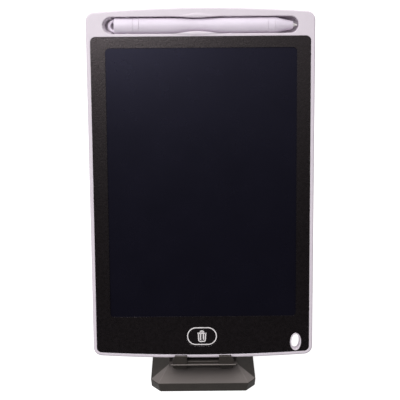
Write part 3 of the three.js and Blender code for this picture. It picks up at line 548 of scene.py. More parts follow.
# the last, lighter colour here is painted light on the stand's up-facing faces, in place of overhead light
STAND = material("stand_plastic", (0.016, 0.013, 0.012), (0.023, 0.019, 0.017), 0.48, 0.45,
                 mottle=0.004, grain=0.0006, depth=0.00005, glint=(1.0, 0.92, 0.85),
                 top_light=(0.175, 0.154, 0.149))
RUBBER = material("soft_rubber", (0.012, 0.012, 0.012), (0.022, 0.022, 0.022), 0.85, 0.3,
                  mottle=0.003, grain=0.0005, depth=0.00004)
STEEL = material("zinc_steel", (0.50, 0.50, 0.51), (0.62, 0.62, 0.63), 0.34, 0.5, 1.0,
                 mottle=0.002, grain=0.0003)
BRASS = material("contact_brass", (0.60, 0.42, 0.16), (0.74, 0.54, 0.24), 0.32, 0.5, 1.0, mottle=0.002)
LAMINATE = material("circuit_laminate", (0.010, 0.075, 0.030), (0.018, 0.110, 0.050), 0.45, mottle=0.002)
FLEX = material("flex_film", (0.42, 0.17, 0.03), (0.50, 0.22, 0.05), 0.35, mottle=0.003)
NYLON = material("white_nylon", (0.74, 0.73, 0.70), (0.80, 0.79, 0.76), 0.55, mottle=0.003)
RED_LEAD = material("red_lead", (0.38, 0.015, 0.012), (0.46, 0.022, 0.018), 0.45, mottle=0.002)
BLACK_LEAD = material("black_lead", (0.012, 0.012, 0.012), (0.02, 0.02, 0.02), 0.45, mottle=0.002)


# ---------------------------------------------------------------- finishing a piece

def placed(piece, name, body, finish, place, sharp=34):
    """Puts a drawn solid where it belongs, with its material and smooth curved faces."""
    moved(piece, place)
    piece.name = name
    piece.data.name = name
    piece.data.materials.clear()
    piece.data.materials.append(finish)
    piece.data.shade_smooth()
    piece.data.set_sharp_from_angle(angle=math.radians(sharp))
    evened = piece.modifiers.new("even shading", "WEIGHTED_NORMAL")
    evened.keep_sharp = True
    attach(piece, body)
    return piece


def stands_for(piece, node, finish, place=TABLET):
    """The fine piece that is shown in a CAD node's place."""
    placed(piece, node + "_detail", BODY_OF[node], finish, place)
    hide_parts(node)


# ---------------------------------------------------------------- camera

CAMERA_AT = (-0.00283, -0.45720, 0.32422)
CAMERA_DOWN = math.radians(24.15)
CAMERA_RIGHT = math.radians(0.17)
CAMERA_ROLL = math.radians(-0.40)
CAMERA_LENS = 69.79
CAMERA_SHIFT = (0.001, 0.0032)

camera_data = bpy.data.cameras.new("camera")
camera_data.lens = CAMERA_LENS
camera_data.shift_x, camera_data.shift_y = CAMERA_SHIFT
camera = bpy.data.objects.new("camera", camera_data)
camera.matrix_world = (
    Matrix.Translation(CAMERA_AT)
    @ Matrix.Rotation(-CAMERA_RIGHT, 4, "Z")
    @ Matrix.Rotation(math.pi / 2 - CAMERA_DOWN, 4, "X")
    @ Matrix.Rotation(CAMERA_ROLL, 4, "Z")
)
bpy.context.scene.collection.objects.link(camera)
bpy.context.scene.camera = camera
bpy.context.scene.view_settings.view_transform = "Standard"

# ---------------------------------------------------------------- tablet: housing

body_outline = panel(
    BODY_HALF_LOW, BODY_HALF_HIGH, 0, BODY_HEIGHT, ARCH_RADIUS, TOP_ARCH_RADIUS, BODY_CORNER
)
film_outline = panel(FILM_HALF, FILM_HALF, FILM_LOW, FILM_HIGH, ARCH_RADIUS, 0, FILM_CORNER)
window_outline = rounded_box(**WINDOW)
button_outline = pill(BUTTON_AT, BUTTON_SIZE)
lanyard_hole = oval(LANYARD_AT, LANYARD_HOLE)
lanyard_rim = oval(LANYARD_AT, LANYARD_RIM)


def hump(x, half):
    """A smooth hump, 1 high at the lips' middle and 0 beyond half of its length from there."""
    t = (x - LIP_MIDDLE) / half
    return (1 + math.cos(math.pi * t)) / 2 if abs(t) < 1 else 0


def slot_outline(grow, steps=96):
    """The pen slot's rim: a long slot whose two sides lean in at the lips."""
    half = SLOT_HEIGHT / 2
    straight = SLOT_LENGTH / 2 - half
    across = [straight * (1 - 2 * i / steps) for i in range(1, steps)]
    return (
        arc(straight, PEN_Y, half + grow, -90, 90, 28)
        + [(x, PEN_Y + half + grow - LIP_UPPER["reach"] * hump(x, LIP_UPPER["half"])) for x in across]
        + arc(-straight, PEN_Y, half + grow, 90, 270, 28)
        + [(-x, PEN_Y - half - grow + LIP_LOWER["reach"] * hump(-x, LIP_LOWER["half"])) for x in across]
    )


def lip(side, half, reach, outer):
    """A lens-shaped swelling on the slot's rim. side is 1 for the upper rim and -1 for the lower."""
    rim = PEN_Y + side * SLOT_HEIGHT / 2
    steps = 40
    across = [LIP_MIDDLE + half * (-1 + 2 * i / steps) for i in range(steps + 1)]

    def outline(shrink):
        inner = [(x, rim - side * reach * hump(x, half)) for x in across]
        back = [(x, rim + side * outer * hump(x, half)) for x in across]
        points = inner + back[-2:0:-1]
        middle = rim + side * (outer - reach) / 2
        keep = 1 + shrink
        drawn = [(LIP_MIDDLE + (x - LIP_MIDDLE) * keep, middle + (y - middle) * keep) for x, y in points]
        return drawn if side > 0 else drawn[::-1]

    turns = [math.pi / 2 * i / 8 for i in range(9)]
    dome = [(math.cos(a) * 0.98 - 1, LIP_PROUD * math.sin(a) - 0.02) for a in turns]
    return loft(outline, [(0, -1.2), (0, -0.1)] + dome)


def slot_end_bowl():
    """The sloping wall that rounds off the slot's end behind the stylus's eyelet."""
    rim = SLOT_HEIGHT / 2
    x = rim - SLOT_LENGTH / 2
    slope = [(rim - 0.05, -0.7), (rim - 0.55, -2), (rim - 1.2, FRAME_SPLIT)]
    ring = turned(slope + [(rim + 0.3, FRAME_SPLIT), (rim + 0.3, -0.7)], closed=True)
    half = prism(rounded_box(x - 9, x, PEN_Y - 9, PEN_Y + 9, 0.1, 2), FRAME_SPLIT - 1, 1)
    return common(moved(ring, Matrix.Translation((x, PEN_Y, 0))), half)


def snap_rib(x, side):
    """A small rib on the slot's wall that holds the stylus."""
    rim = PEN_Y + side * SLOT_HEIGHT / 2
    crest = rim - 0.22
    corners = [(x - 1.6, rim + 0.6), (x - 1.0, crest), (x + 1.0, crest), (x + 1.6, rim + 0.6)]
    if side < 0:
        corners = [(px, 2 * rim - py) for px, py in reversed(corners)]
    return prism(shape(corners, 0.4), FRAME_SPLIT, -0.45, 0.15)


def electronics_room(front, back):
    """The cutter for the room behind the erase button, which leaves posts for screws and lanyard hole."""
    posts = drilled(SCREWS_AT, back - 1, front + 1, POST_RADIUS)
    posts.append(prism(oval(LANYARD_AT, [size + 3.2 for size in LANYARD_HOLE]), back - 1, front + 1))
    return cut(prism(rounded_box(**ELECTRONICS), back, front), *posts)


def upper_room(front, back):
    """The cutter for the room behind the display, which leaves posts for the screws."""
    room = prism(rounded_box(**UPPER), back, front)
    return cut(room, *drilled(SCREWS_AT, back - 1, front + 1, POST_RADIUS))


def front_frame():
    body = loft(body_outline, rounded(FRAME_SPLIT, 0, PART_EDGE, EDGE_ROUND, 6))
    hollowed = cut(
        body,
        loft(film_outline, [(0.1, FILM_BACK - 0.1), (0.1, -0.1), (0.2, 0), (0.2, 1)]),
        prism(rounded_box(-66.5, 66.5, 26, 205, 1.5), POCKET_BACK, 1),
        prism(rounded_box(19.2, 34.8, 23, 33, 0.5), BULKHEAD_BACK - 0.1, FRONT_WALL_BACK),
        electronics_room(FRONT_WALL_BACK, -6),
        upper_room(BULKHEAD_BACK, -6),
        loft(slot_outline, flared(-20, 0, SLOT_EDGE, steps=6)),
        prism(pill(BUTTON_AT, [size + 2 * BUTTON_GAP for size in BUTTON_SIZE]), -3, 1),
        *drilled(SCREWS_AT, -6, -2.7, 1.1),
    )
    whole = join(
        hollowed,
        loft(lanyard_rim, rounded(FRAME_SPLIT, 0.1, PART_EDGE, 0.35)),
        lip(1, **LIP_UPPER),
        lip(-1, **LIP_LOWER),
        slot_end_bowl(),
        *[snap_rib(x, side) for x in SNAP_AT for side in (1, -1)],
    )
    return cut(whole, loft(lanyard_hole, flared(-20, 0.1, 0.5)))


def rear_cover():
    body = loft(body_outline, rounded(BODY_BACK, COVER_SPLIT, EDGE_ROUND, PART_EDGE, 6))
    ridge_side = [
        (202, -6), (208, RIDGE_BACK), (222.6, RIDGE_BACK), (225.2, -6.6), (225.2, -5), (202, -5),
    ]
    ridge_plan = [(grow - 0.5, z) for grow, z in rounded(RIDGE_BACK, -4.6, 2.2, 0, 6)]
    ridge = common(bar_x(shape(ridge_side, 1.6), -80, 80), loft(body_outline, ridge_plan))
    slider_middle = (SLIDER_AT[0] + SLIDER_TRAVEL / 2, SLIDER_AT[1])
    slider_room = (SLIDER_SIZE[0] + SLIDER_TRAVEL + 0.6, SLIDER_SIZE[1] + 0.6)
    neck_room = (3 + SLIDER_TRAVEL + 0.4, 2.6)
    well = rounded_box(DOOR["left"] - 2, DOOR["right"] + 2, DOOR["low"] - 2, DOOR["high"] + 2, 3)
    hollowed = cut(
        join(body, ridge),
        loft(pill((0, PEN_Y), (SLOT_LENGTH, SLOT_HEIGHT)), flared(SLOT_FLOOR, COVER_SPLIT, 0.1, 4.5, 8)),
        electronics_room(1, COVER_WALL),
        upper_room(1, COVER_WALL),
    )
    return cut(
        join(hollowed, prism(well, -6, COVER_SPLIT)),
        prism(disc(*CELL_AT, CELL_RADIUS + 0.4), -7, 1),
        prism(rounded_box(9.8, 12.8, 99.6, 118.4, 0.3), -5.4, 1),
        loft(rounded_box(**DOOR), [(0.25 + grow, z) for grow, z in flared(-5.5, BODY_BACK, 0.2)]),
        *drilled([DOOR_SCREW_AT], -7, -4.6, 0.85),
        loft(lanyard_hole, flared(0, BODY_BACK, 0.5)),
        loft(pill(slider_middle, slider_room), flared(-5.95, BODY_BACK, 0.25)),
        prism(pill(slider_middle, neck_room), -8, -4),
        *drilled(SCREWS_AT, -8, -3, 1.15),
        *[loft(disc(x, y, 2.15), flared(-5.2, BODY_BACK, 0.25)) for x, y in SCREWS_AT],
    )


def screw(x, y, head_end, tip, head_radius, shank_radius):
    """A pan-head screw along z with a cross recess. Its head is towards head_end."""
    way = 1 if tip > head_end else -1
    dome = [(head_radius * math.sin(a), head_end + way * 0.45 * (1 - math.cos(a)))
            for a in (math.pi / 2 * i / 6 for i in range(7))]
    threads = []
    pitch = 0.7
    start = head_end + way * 0.95
    for i in range(int((abs(tip - start) - 0.3) / pitch)):
        z = start + way * (0.15 + i * pitch)
        threads += [(shank_radius * 0.82, z), (shank_radius, z + way * pitch * 0.5)]
    profile = dome + [(head_radius, start), (shank_radius * 0.82, start)] + threads
    whole = turned(profile + [(shank_radius * 0.5, tip), (0, tip)], steps=32)
    reach = head_radius * 0.62
    deep, out = sorted((head_end + way * 0.55, head_end - way))
    arms = [
        prism(rounded_box(-reach, reach, -0.25, 0.25, 0.08, 2), deep, out),
        prism(rounded_box(-0.25, 0.25, -reach, reach, 0.08, 2), deep, out),
    ]
    return moved(cut(whole, *arms), Matrix.Translation((x, y, 0)))


# ---------------------------------------------------------------- tablet: film, display and button

def bezel_film():
    """The black film round the window, with openings for the button and the lanyard hole's rim."""
    return cut(
        loft(film_outline, rounded(FILM_BACK, FILM_FRONT, 0, 0.06, 2)),
        loft(window_outline, flared(-2, FILM_FRONT, 0.05, steps=2)),
        prism(pill(BUTTON_AT, [size + 2 * BUTTON_GAP for size in BUTTON_SIZE]), -2, 1),
        prism(oval(LANYARD_AT, [size + 0.24 for size in LANYARD_RIM]), -2, 1),
    )


def erase_button():
    cap = loft(button_outline, rounded(-2.1, BUTTON_TOP, 0, 0.2))
    flange = loft(
        pill(BUTTON_AT, [size + 2 * BUTTON_FLANGE for size in BUTTON_SIZE]),
        rounded(-2.1, FRONT_WALL_BACK - 0.12, 0, 0.05, 2),
    )
    return join(cap, flange, prism(disc(*BUTTON_AT, 1.5), -2.4, -2, 0.05))


def printed_line(outline, width):
    """A printed line of even width inside a closed outline, standing just proud of the button."""
    low, high = PRINT_SIDES
    return loft(outline, [(0, low), (0, high), (-width, high), (-width, low)], closed=True)


def trash_icon():
    """A dustbin: a tapered can with two bars, and a lid with a handle."""
    x, y = BUTTON_AT
    low, high = PRINT_SIDES

    def drawn(corners):
        return shape([(x + px, y + py) for px, py in corners], 0.15)

    can = drawn([(-1.75, -3.7), (1.75, -3.7), (2.5, -2.85), (2.8, 2.4), (-2.8, 2.4), (-2.5, -2.85)])
    handle = drawn([(-1.8, 2.2), (1.8, 2.2), (1.0, 4.0), (-1.0, 4.0)])
    lid = prism(rounded_box(x - 3.0, x + 3.0, y + 1.9, y + 2.6, 0.3, 3), low, high)
    bars = [prism(pill((x + way * 0.92, y - 0.4), (0.8, 4.1), 8), low, high) for way in (-1, 1)]
    return join(printed_line(can, 0.75), printed_line(handle, 0.85), lid, *bars)


def lock_slider():
    x, y = SLIDER_AT
    thumb = prism(pill(SLIDER_AT, SLIDER_SIZE), -7, -6.05, 0.2)
    neck = prism(pill(SLIDER_AT, (3, 2)), -6.5, -4.95)
    grooves = [
        prism(rounded_box(x + dx, x + dx + 0.5, y - 2, y + 2, 0.2, 3), -8, -6.7)
        for dx in (-2, -0.8, 0.4, 1.6)
    ]
    return cut(join(thumb, neck), *grooves)


def battery_door():
    grips = [
        prism(pill((0, 119.4 + dy), (12, 0.8), 8), -8, -6.25) for dy in (0, 1.6, 3.2)
    ]
    return cut(
        loft(rounded_box(**DOOR), rounded(BODY_BACK, -5.65, 0.2, 0)),
        *drilled([DOOR_SCREW_AT], -8, 0, 1.1),
        *grips,
    )


stands_for(front_frame(), "front_frame", LILAC)
stands_for(rear_cover(), "rear_cover", LILAC)
stands_for(bezel_film(), "bezel_film", FILM)
stands_for(prism(rounded_box(**PANEL), PANEL_BACK, PANEL_FRONT, 0.1), "lcd_panel", DISPLAY)
stands_for(erase_button(), "erase_button", FILM)
placed(printed_line(pill(RING_AT, RING_SIZE), RING_LINE), "erase_ring_print", "erase_button",
       WHITE_PRINT, TABLET)
placed(trash_icon(), "erase_icon_print", "erase_button", WHITE_PRINT, TABLET)
stands_for(lock_slider(), "lock_slider", LILAC)
stands_for(battery_door(), "battery_door", LILAC)
stands_for(screw(*DOOR_SCREW_AT, -7.55, -4.75, 1.7, 0.75), "battery_door_screw", STEEL)
for i, (x, y) in enumerate(SCREWS_AT):
    stands_for(screw(x, y, -6.3, -2.9, 1.9, 1), f"housing_screw_{i + 1}", STEEL)

# ---------------------------------------------------------------- stylus

CAP_FACE = -54.8
REAR_BAND = (-43, -39)
FRONT_BAND = (42.6, 47)
NOSE_END = 58.7
NIB_END = 61.4
SPIGOT = 2.8
SOCKET = 3
SOCKET_DEPTH = 3.5
SEAM = 0.05
SEAM_GAP = 0.1


def on_pen_axis(piece):
    """Lays a solid turned about z along the stylus's axis."""
    axis = Matrix.Translation((0, PEN_Y, PEN_Z)) @ Matrix.Rotation(math.pi / 2, 4, "Y")
    return moved(piece, axis)


def stylus_end_cap():
    end = REAR_BAND[0] - SEAM_GAP / 2
    edge = [(PEN_RADIUS - 0.6 * (1 - math.sin(a)), CAP_FACE + 0.6 * (1 - math.cos(a)))
            for a in (math.pi / 2 * i / 5 for i in range(6))]
    body = on_pen_axis(turned(
        [(0, CAP_FACE)] + edge
        + [(PEN_RADIUS, end - SEAM), (PEN_RADIUS - SEAM, end)]
        + [(SOCKET, end), (SOCKET, end - SOCKET_DEPTH), (0, end - SOCKET_DEPTH)]
    ))
    bend = [math.pi * (i / 24 - 0.5) for i in range(25)]
    path = [Vector((CAP_FACE + 0.5 - 3.6 * math.cos(a), 3.3 * math.sin(a), 0)) for a in bend]
    return join(body, moved(sweep(path, 0.95), Matrix.Translation((0, PEN_Y, PEN_Z))))


def stylus_band(start, end):
    low, high = start + SEAM_GAP / 2, end - SEAM_GAP / 2
    return on_pen_axis(turned([
        (SOCKET, low), (PEN_RADIUS - SEAM, low), (PEN_RADIUS, low + SEAM),
        (PEN_RADIUS, high - SEAM), (PEN_RADIUS - SEAM, high), (SOCKET, high),
    ], closed=True))


def stylus_barrel():
    """The barrel narrows between the lips, more on its lower side, so that it passes them."""
    low, high = REAR_BAND[1] + SEAM_GAP / 2, FRONT_BAND[0] - SEAM_GAP / 2
    waist = []
    for i in range(41):
        x = LIP_MIDDLE + WAIST["half"] * (-1 + i / 20)
        waist.append((PEN_RADIUS - WAIST["narrower"] * hump(x, WAIST["half"]), x))
    barrel = on_pen_axis(turned(
        [(0, REAR_BAND[0] - 3.2), (SPIGOT, REAR_BAND[0] - 3.2), (SPIGOT, low), (PEN_RADIUS - SEAM, low),
         (PEN_RADIUS, low + SEAM)]
        + waist
        + [(PEN_RADIUS, high - SEAM), (PEN_RADIUS - SEAM, high), (SPIGOT, high),
           (SPIGOT, FRONT_BAND[1] + 3.2), (0, FRONT_BAND[1] + 3.2)]
    ))
    for corner in barrel.data.vertices:
        corner.co.y += WAIST["raised"] * hump(corner.co.x, WAIST["half"])
    return barrel


def stylus_nose():
    start = FRONT_BAND[1] + SEAM_GAP / 2
    return on_pen_axis(turned([
        (SOCKET, start), (PEN_RADIUS - SEAM, start), (PEN_RADIUS, start + SEAM),
        (PEN_RADIUS - 0.08, start + 1.2), (PEN_RADIUS - 0.35, start + 2.2), (3.55, NOSE_END - 5),
        (2.5, NOSE_END - 0.25), (2.3, NOSE_END),
        (1.5, NOSE_END), (1.5, start + SOCKET_DEPTH), (SOCKET, start + SOCKET_DEPTH),
    ], closed=True))


def stylus_nib():
    base = FRONT_BAND[1] + 4.2
    tip = [(0.62 * math.cos(a), NIB_END - 0.62 * (1 - math.sin(a)))
           for a in (math.pi / 2 * i / 6 for i in range(7))]
    cone = [(0, base), (1.3, base), (1.3, NOSE_END + 0.1), (0.95, NOSE_END + 0.9)]
    return on_pen_axis(turned(cone + tip))


stands_for(stylus_end_cap(), "stylus_end_cap", LILAC_PEN)
stands_for(stylus_band(*REAR_BAND), "stylus_rear_band", LILAC_PEN)
stands_for(stylus_barrel(), "stylus_barrel", LILAC_PEN)
stands_for(stylus_band(*FRONT_BAND), "stylus_front_band", LILAC_PEN)
stands_for(stylus_nose(), "stylus_nose_cone", LILAC_PEN)
stands_for(stylus_nib(), "stylus_nib", NYLON)

# ---------------------------------------------------------------- cradle, in the tablet's axes

def hinge_bores(pivot):
    """The cutters for a hinge: its bore, the pin head's seat and the nut's seat."""
    return [
        bar_x(disc(*pivot, PIN_BORE), -THROUGH, THROUGH),
        bar_x(disc(*pivot, 3.7), KNUCKLE_OUTER - SEAT_DEPTH, THROUGH),
        bar_x(disc(*pivot, 3.9, 6), -THROUGH, SEAT_DEPTH - KNUCKLE_OUTER),
    ]


def cradle_plate():
    y, z = CRADLE_PIVOT
    root = PLATE_BACK + 0.3
    lug_side = shape([(y + 9, root), (y + BARREL_RADIUS, z), (y - BARREL_RADIUS, z), (y - 9, root)])
    return cut(
        join(
            prism(rounded_box(-33, 33, 3, 80, 6), PLATE_BACK, PLATE_FRONT, 0.5),
            *both_sides(lug_side, KNUCKLE_INNER, KNUCKLE_OUTER, 0.4),
            *both_sides(disc(y, z, BARREL_RADIUS), KNUCKLE_INNER, KNUCKLE_OUTER, 0.4),
        ),
        *hinge_bores(CRADLE_PIVOT),
        *drilled(TRAY_SCREWS_AT, -12, -9.6, 1.15),
    )


def cradle_pad():
    """A rubber pad with shallow grip grooves across it."""
    pad = prism(rounded_box(-27, 27, 18, 74, 4), PLATE_FRONT + GAP, -6.7, 0.3)
    grooves = [prism(pill((0, 22 + 4 * i), (46, 1.0), 6), -7.1, -6) for i in range(13)]
    return cut(pad, *grooves)


def hook_tray():
    """The bent tray at the cradle's foot, with two prongs, a low bar between them and two feet."""
    side = [
        (TRAY_TOP, TRAY_FRONT - 0.8), (TRAY_TOP, -6.6), (2.2, FLANGE_FRONT),
        (FLANGE_TOP, FLANGE_FRONT), (FLANGE_TOP, FLANGE_BACK), (1.4, FLANGE_BACK),
        (TRAY_BOTTOM, -7.2), (TRAY_BOTTOM, TRAY_FRONT - 0.8),
        (TRAY_TOP - 0.6, TRAY_FRONT), (TRAY_TOP - 0.3, TRAY_FRONT),
    ]
    shoulder, nose = TRAY_FRONT - 2.6, TRAY_HALF - 2.2
    plan = [
        (-TRAY_HALF, -THROUGH), (TRAY_HALF, -THROUGH), (TRAY_HALF, shoulder),
        (nose, TRAY_FRONT + 1), (-nose, TRAY_FRONT + 1), (-TRAY_HALF, shoulder),
    ]
    standing = Matrix(((1, 0, 0, 0), (0, 0, -1, 0), (0, 1, 0, 0), (0, 0, 0, 1)))
    bracket = common(
        bar_x(shape(side, 0.15), -TRAY_HALF, TRAY_HALF, 0.15),
        moved(prism(shape(plan, 0.3), -THROUGH, THROUGH), standing),
    )
    face = [
        (PRONG_INNER, TRAY_TOP - 0.5), (PRONG_OUTER, TRAY_TOP - 0.5), (PRONG_OUTER, PRONG_TOP - 3),
        (PRONG_OUTER - 1.8, PRONG_TOP), (PRONG_INNER, PRONG_TOP),
    ]
    mirrored = [(-x, y) for x, y in reversed(face)]
    prongs = [prism(shape(corners, 0.3), PRONG_BACK, PRONG_FRONT, 0.3) for corners in (face, mirrored)]
    bar_half = PRONG_INNER + 0.5
    bar = prism(rounded_box(-bar_half, bar_half, TRAY_TOP - 0.5, -1.5, 0.2), PRONG_BACK, 2.6, 0.15)
    middle = (PRONG_INNER + PRONG_OUTER) / 2
    feet = [
        prism(rounded_box(way * middle - 4.6, way * middle + 4.6, -7.2, TRAY_BOTTOM + 0.4, 1), -4, 0, 0.3)
        for way in (-1, 1)
    ]
    return cut(
        join(bracket, *prongs, bar, *feet),
        prism(rounded_box(-6, 6, 5, 12, 2), -20, -11),
        *drilled(TRAY_SCREWS_AT, -20, -11, 1.15),
    )


def tray_pad(way):
    left, right = (PRONG_INNER, PRONG_OUTER) if way > 0 else (-PRONG_OUTER, -PRONG_INNER)
    pad = prism(rounded_box(left, right, -6, -0.3, 0.4), TRAY_TOP + GAP, -GAP, 0.3)
    return moved(pad, Matrix(((1, 0, 0, 0), (0, 0, 1, 0), (0, 1, 0, 0), (0, 0, 0, 1))))


def hinge_pin(pivot):
    """A pin along x with a domed, slotted head at its +x end."""
    y, z = pivot
    end = KNUCKLE_OUTER - 0.4
    dome = [(3.5 - 0.5 * (1 - math.cos(a)), end - 0.5 * (1 - math.sin(a)))
            for a in (math.pi / 2 * i / 5 for i in range(6))]
    pin = turned(
        [(0, 1 - KNUCKLE_OUTER), (PIN_RADIUS - 0.3, 1 - KNUCKLE_OUTER), (PIN_RADIUS, 1.3 - KNUCKLE_OUTER),
         (PIN_RADIUS, KNUCKLE_OUTER - 2.4), (3.5, KNUCKLE_OUTER - 2.4)] + dome + [(0, end)],
        steps=48,
    )
    pin = moved(pin, Matrix.Translation((0, y, z)) @ Matrix.Rotation(math.pi / 2, 4, "Y"))
    groove = bar_x(rounded_box(y - 2.6, y + 2.6, z - 0.4, z + 0.4, 0.1, 2), KNUCKLE_OUTER - 1.1, THROUGH)
    return cut(pin, groove)


def hinge_nut(pivot):
    nut = bar_x(disc(*pivot, 3.6, 6), 0.4 - KNUCKLE_OUTER, 2.4 - KNUCKLE_OUTER, 0.15)
    return cut(nut, bar_x(disc(*pivot, PIN_BORE), -THROUGH, 0))


def hinge_washer(pivot, way):
    low, high = BARREL_HALF + GAP, BARREL_HALF + GAP + WASHER_THICKNESS
    if way < 0:
        low, high = -high, -low
    return cut(
        bar_x(disc(*pivot, 4.8), low, high, 0.1),
        bar_x(disc(*pivot, PIN_BORE), -THROUGH, THROUGH),
    )


stands_for(cradle_plate(), "cradle_plate", STAND)
stands_for(cradle_pad(), "cradle_pad", RUBBER)
stands_for(hook_tray(), "hook_tray", STAND)
for (x, y), way, side in zip(TRAY_SCREWS_AT, (-1, 1), ("left", "right")):
    stands_for(tray_pad(way), f"tray_pad_{side}", RUBBER)
    stands_for(screw(x, y, -14.75, -9.8, 2.2, 1), f"tray_screw_{side}", STEEL)
    stands_for(hinge_washer(CRADLE_PIVOT, way), f"cradle_washer_{side}", NYLON)
    stands_for(hinge_washer(BASE_PIVOT, way), f"arm_washer_{side}", NYLON, WORLD)
stands_for(hinge_pin(CRADLE_PIVOT), "cradle_hinge_pin", STEEL)
stands_for(hinge_nut(CRADLE_PIVOT), "cradle_hinge_nut", STEEL)

# ---------------------------------------------------------------- arm and base, in the frame's axes

def arm_link():
    """The arm, a flat bar with a round barrel at each end."""
    pivot = Matrix.Rotation(math.pi / 2 - LEAN, 4, "X") @ Vector((0, *CRADLE_PIVOT)) + TABLET_FOOT
    top, foot = Vector((pivot.y, pivot.z)), Vector(BASE_PIVOT)
    along = (top - foot).normalized()
    across = Vector((-along.y, along.x)) * (ARM_THICKNESS / 2)
    corners = (top - across, top + across, foot + across, foot - across)
    bar = shape([tuple(corner) for corner in corners])
    body = join(
        bar_x(bar, -BARREL_HALF, BARREL_HALF, 0.5),
        bar_x(disc(*foot, BARREL_RADIUS), -BARREL_HALF, BARREL_HALF, 0.4),
        bar_x(disc(*top, BARREL_RADIUS - 0.3), -BARREL_HALF, BARREL_HALF, 0.4),
    )
    return cut(body, *[bar_x(disc(*end, PIN_BORE), -THROUGH, THROUGH) for end in (foot, top)])


def octagon(half_x, half_y, chamfer, z):
    """The corners of a rectangle with chamfered corners, at height z."""
    x, y, c = half_x, half_y, chamfer
    return [
        (x, -y + c, z), (x, y - c, z), (x - c, y, z), (-x + c, y, z),
        (-x, y - c, z), (-x, -y + c, z), (-x + c, -y, z), (x - c, -y, z),
    ]


def deck(half, front, rear, z):
    return [(-half, front, z), (half, front, z), (half, rear, z), (-half, rear, z)]


def base_shell():
    """The base: nearly upright sides, facets up to a flat deck, a room below and two hinge knuckles."""
    y, z = BASE_PIVOT
    outer = hull(
        octagon(BASE_HALF_X - BASE_DRAFT, BASE_HALF_Y - BASE_DRAFT, FOOT_CHAMFER, BASE_BOTTOM)
        + octagon(BASE_HALF_X, BASE_HALF_Y, DECK_EDGE_CHAMFER, BASE_EDGE)
        + deck(DECK_HALF, DECK_FRONT, DECK_REAR, DECK_HEIGHT),
        0.35,
    )
    knuckle_side = rounded_box(y - KNUCKLE_RADIUS, y + KNUCKLE_RADIUS, 8, z, 0.05, 1)
    room = hull(
        octagon(BASE_HALF_X - BASE_WALL, BASE_HALF_Y - BASE_WALL, 7, BASE_BOTTOM - 1)
        + octagon(BASE_HALF_X - BASE_WALL, BASE_HALF_Y - BASE_WALL, 7, BASE_EDGE - 2)
        + deck(DECK_HALF - 1.5, DECK_FRONT + 1, 22, DECK_HEIGHT - 2.2),
        0,
    )
    side = BARREL_RADIUS + 0.5
    barrel_room = join(
        bar_x(disc(y, z, side), -KNUCKLE_INNER, KNUCKLE_INNER),
        bar_x(rounded_box(y - side, y + side, z, z + 10, 0.05, 1), -KNUCKLE_INNER, KNUCKLE_INNER),
    )
    return cut(
        join(
            outer,
            *both_sides(knuckle_side, KNUCKLE_INNER, KNUCKLE_OUTER, 0.4),
            *both_sides(disc(y, z, KNUCKLE_RADIUS), KNUCKLE_INNER, KNUCKLE_OUTER, 0.4),
        ),
        cut(room, *drilled(BASE_SCREWS_AT, 3.1, 20, 3.2)),
        barrel_room,
        *hinge_bores(BASE_PIVOT),
        *drilled(BASE_SCREWS_AT, 0, 6.2, 1.15),
    )


def base_bottom_plate():
    corners = [(x, y) for x, y, _ in octagon(BASE_HALF_X - 3.2, BASE_HALF_Y - 3.2, 7.1, 0)]
    return cut(
        prism(shape(corners, 0.5), 0.9, 2.9, 0.2),
        *drilled(BASE_SCREWS_AT, 0, 4, 1.15),
        *drilled(BASE_SCREWS_AT, 0, 2, 2.2),
    )


def grip_pad():
    """The rubber pad under the base, with shallow grooves across it."""
    pad = prism(rounded_box(-21, 21, -28, 28, 5), 0, 0.7, 0.15)
    grooves = [prism(pill((0, -22 + 4 * i), (34, 1.2), 6), -1, 0.25) for i in range(12)]
    return cut(pad, *grooves)


stands_for(arm_link(), "arm_link", STAND, WORLD)
stands_for(base_shell(), "base_shell", STAND, WORLD)
stands_for(base_bottom_plate(), "base_bottom_plate", STAND, WORLD)
stands_for(grip_pad(), "base_grip_pad", RUBBER, WORLD)
stands_for(hinge_pin(BASE_PIVOT), "arm_hinge_pin", STEEL, WORLD)
stands_for(hinge_nut(BASE_PIVOT), "arm_hinge_nut", STEEL, WORLD)
for i, (x, y) in enumerate(BASE_SCREWS_AT):
    stands_for(screw(x, y, 1.05, 6, 1.95, 1), f"base_screw_{i + 1}", STEEL, WORLD)

# ---------------------------------------------------------------- pieces kept from the frame

KEPT = {
    "lcd_backing": BACKING,
    "circuit_board": LAMINATE,
    "flex_tail": FLEX,
    "erase_dome_switch": STEEL,
    "slide_switch_body": STEEL,
    "coin_cell": STEEL,
    "battery_contact_positive": BRASS,
    "battery_contact_negative": BRASS,
    "battery_lead_positive": RED_LEAD,
    "battery_lead_negative": BLACK_LEAD,
    "base_weight": STEEL,
}
for node, finish in KEPT.items():
    mesh = frame["nodes"][node].data
    mesh.materials.clear()
    mesh.materials.append(finish)

# ---------------------------------------------------------------- floor and light

FLOOR_GLOW = 0.8
FLOOR_HALF = 20
WALL_RADIUS = 5
WALL_HEIGHT = 6
SKY_STRENGTH = {"left": 2.1, "right": 1.1}
# brightness by direction, from straight down at 0 past the horizon at 0.5 to overhead at 1
SKY = ((0.0, 0.50), (0.3, 0.40), (0.48, 0.02), (0.62, 0.02), (0.75, 0.50), (0.88, 0.85), (1.0, 1.0))


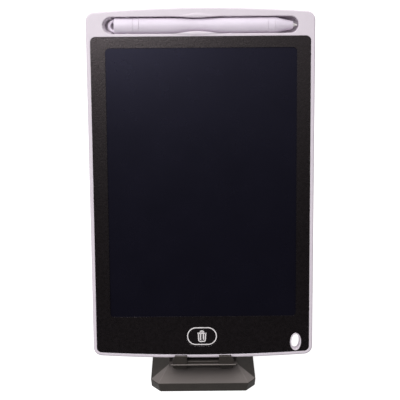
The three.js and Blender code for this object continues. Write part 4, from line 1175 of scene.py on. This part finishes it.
def pale_stage():
    """A wide pale table that glows a little, as a lit product table does, and a pale wall far round it."""
    bm = bmesh.new()
    bmesh.ops.create_grid(bm, x_segments=4, y_segments=4, size=FLOOR_HALF)
    floor = as_object(bm)
    floor.name = "floor"
    outside = WALL_RADIUS + 0.1
    wall = turned([(WALL_RADIUS, 0), (WALL_RADIUS, WALL_HEIGHT), (outside, WALL_HEIGHT), (outside, 0)],
                  closed=True)
    wall.name = "wall"
    wall.visible_shadow = False
    finish = bpy.data.materials.new("pale_stage")
    finish.use_nodes = True
    shader = finish.node_tree.nodes["Principled BSDF"]
    shader.inputs["Base Color"].default_value = (0.5, 0.5, 0.5, 1)
    shader.inputs["Roughness"].default_value = 1
    shader.inputs["Emission Color"].default_value = (1, 1, 1, 1)
    shader.inputs["Emission Strength"].default_value = FLOOR_GLOW
    for piece in (floor, wall):
        piece.visible_glossy = False
        piece.visible_diffuse = False
        piece.data.materials.append(finish)


def area_light(name, location, target, size, watts):
    """A rectangular lamp that faces the target."""
    data = bpy.data.lights.new(name, "AREA")
    data.shape = "RECTANGLE"
    data.size, data.size_y = size
    data.energy = watts
    light = bpy.data.objects.new(name, data)
    light.location = location
    light.rotation_euler = (Vector(target) - Vector(location)).to_track_quat("-Z", "Y").to_euler()
    bpy.context.scene.collection.objects.link(light)


def studio_sky():
    """Soft light from all round, brightest overhead, dim near the horizon and stronger on the left."""
    world = bpy.data.worlds.new("studio")
    bpy.context.scene.world = world
    world.use_nodes = True
    nodes, links = world.node_tree.nodes, world.node_tree.links
    place = nodes.new("ShaderNodeTexCoord")
    parts = nodes.new("ShaderNodeSeparateXYZ")
    ramp = nodes.new("ShaderNodeValToRGB")
    steps = ramp.color_ramp.elements
    while len(steps) < len(SKY):
        steps.new(0.5)
    for step, (height, brightness) in zip(steps, SKY):
        step.position = height
        step.color = (brightness, brightness, brightness, 1)
    links.new(place.outputs["Generated"], parts.inputs["Vector"])
    height = nodes.new("ShaderNodeMapRange")
    height.inputs["From Min"].default_value = -1
    links.new(parts.outputs["Z"], height.inputs["Value"])
    links.new(height.outputs["Result"], ramp.inputs["Fac"])
    links.new(ramp.outputs["Color"], nodes["Background"].inputs["Color"])
    across = nodes.new("ShaderNodeMapRange")
    across.inputs["From Min"].default_value = -1
    across.inputs["To Min"].default_value = SKY_STRENGTH["left"]
    across.inputs["To Max"].default_value = SKY_STRENGTH["right"]
    links.new(parts.outputs["X"], across.inputs["Value"])
    links.new(across.outputs["Result"], nodes["Background"].inputs["Strength"])


pale_stage()
studio_sky()
area_light("key", (-0.24, -1.2, 1.02), (0, 0, 0.18), (0.35, 0.2), 3.2)
area_light("overhead", (-0.25, -0.33, 0.62), (0, 0, 0.12), (0.4, 0.3), 1.5)
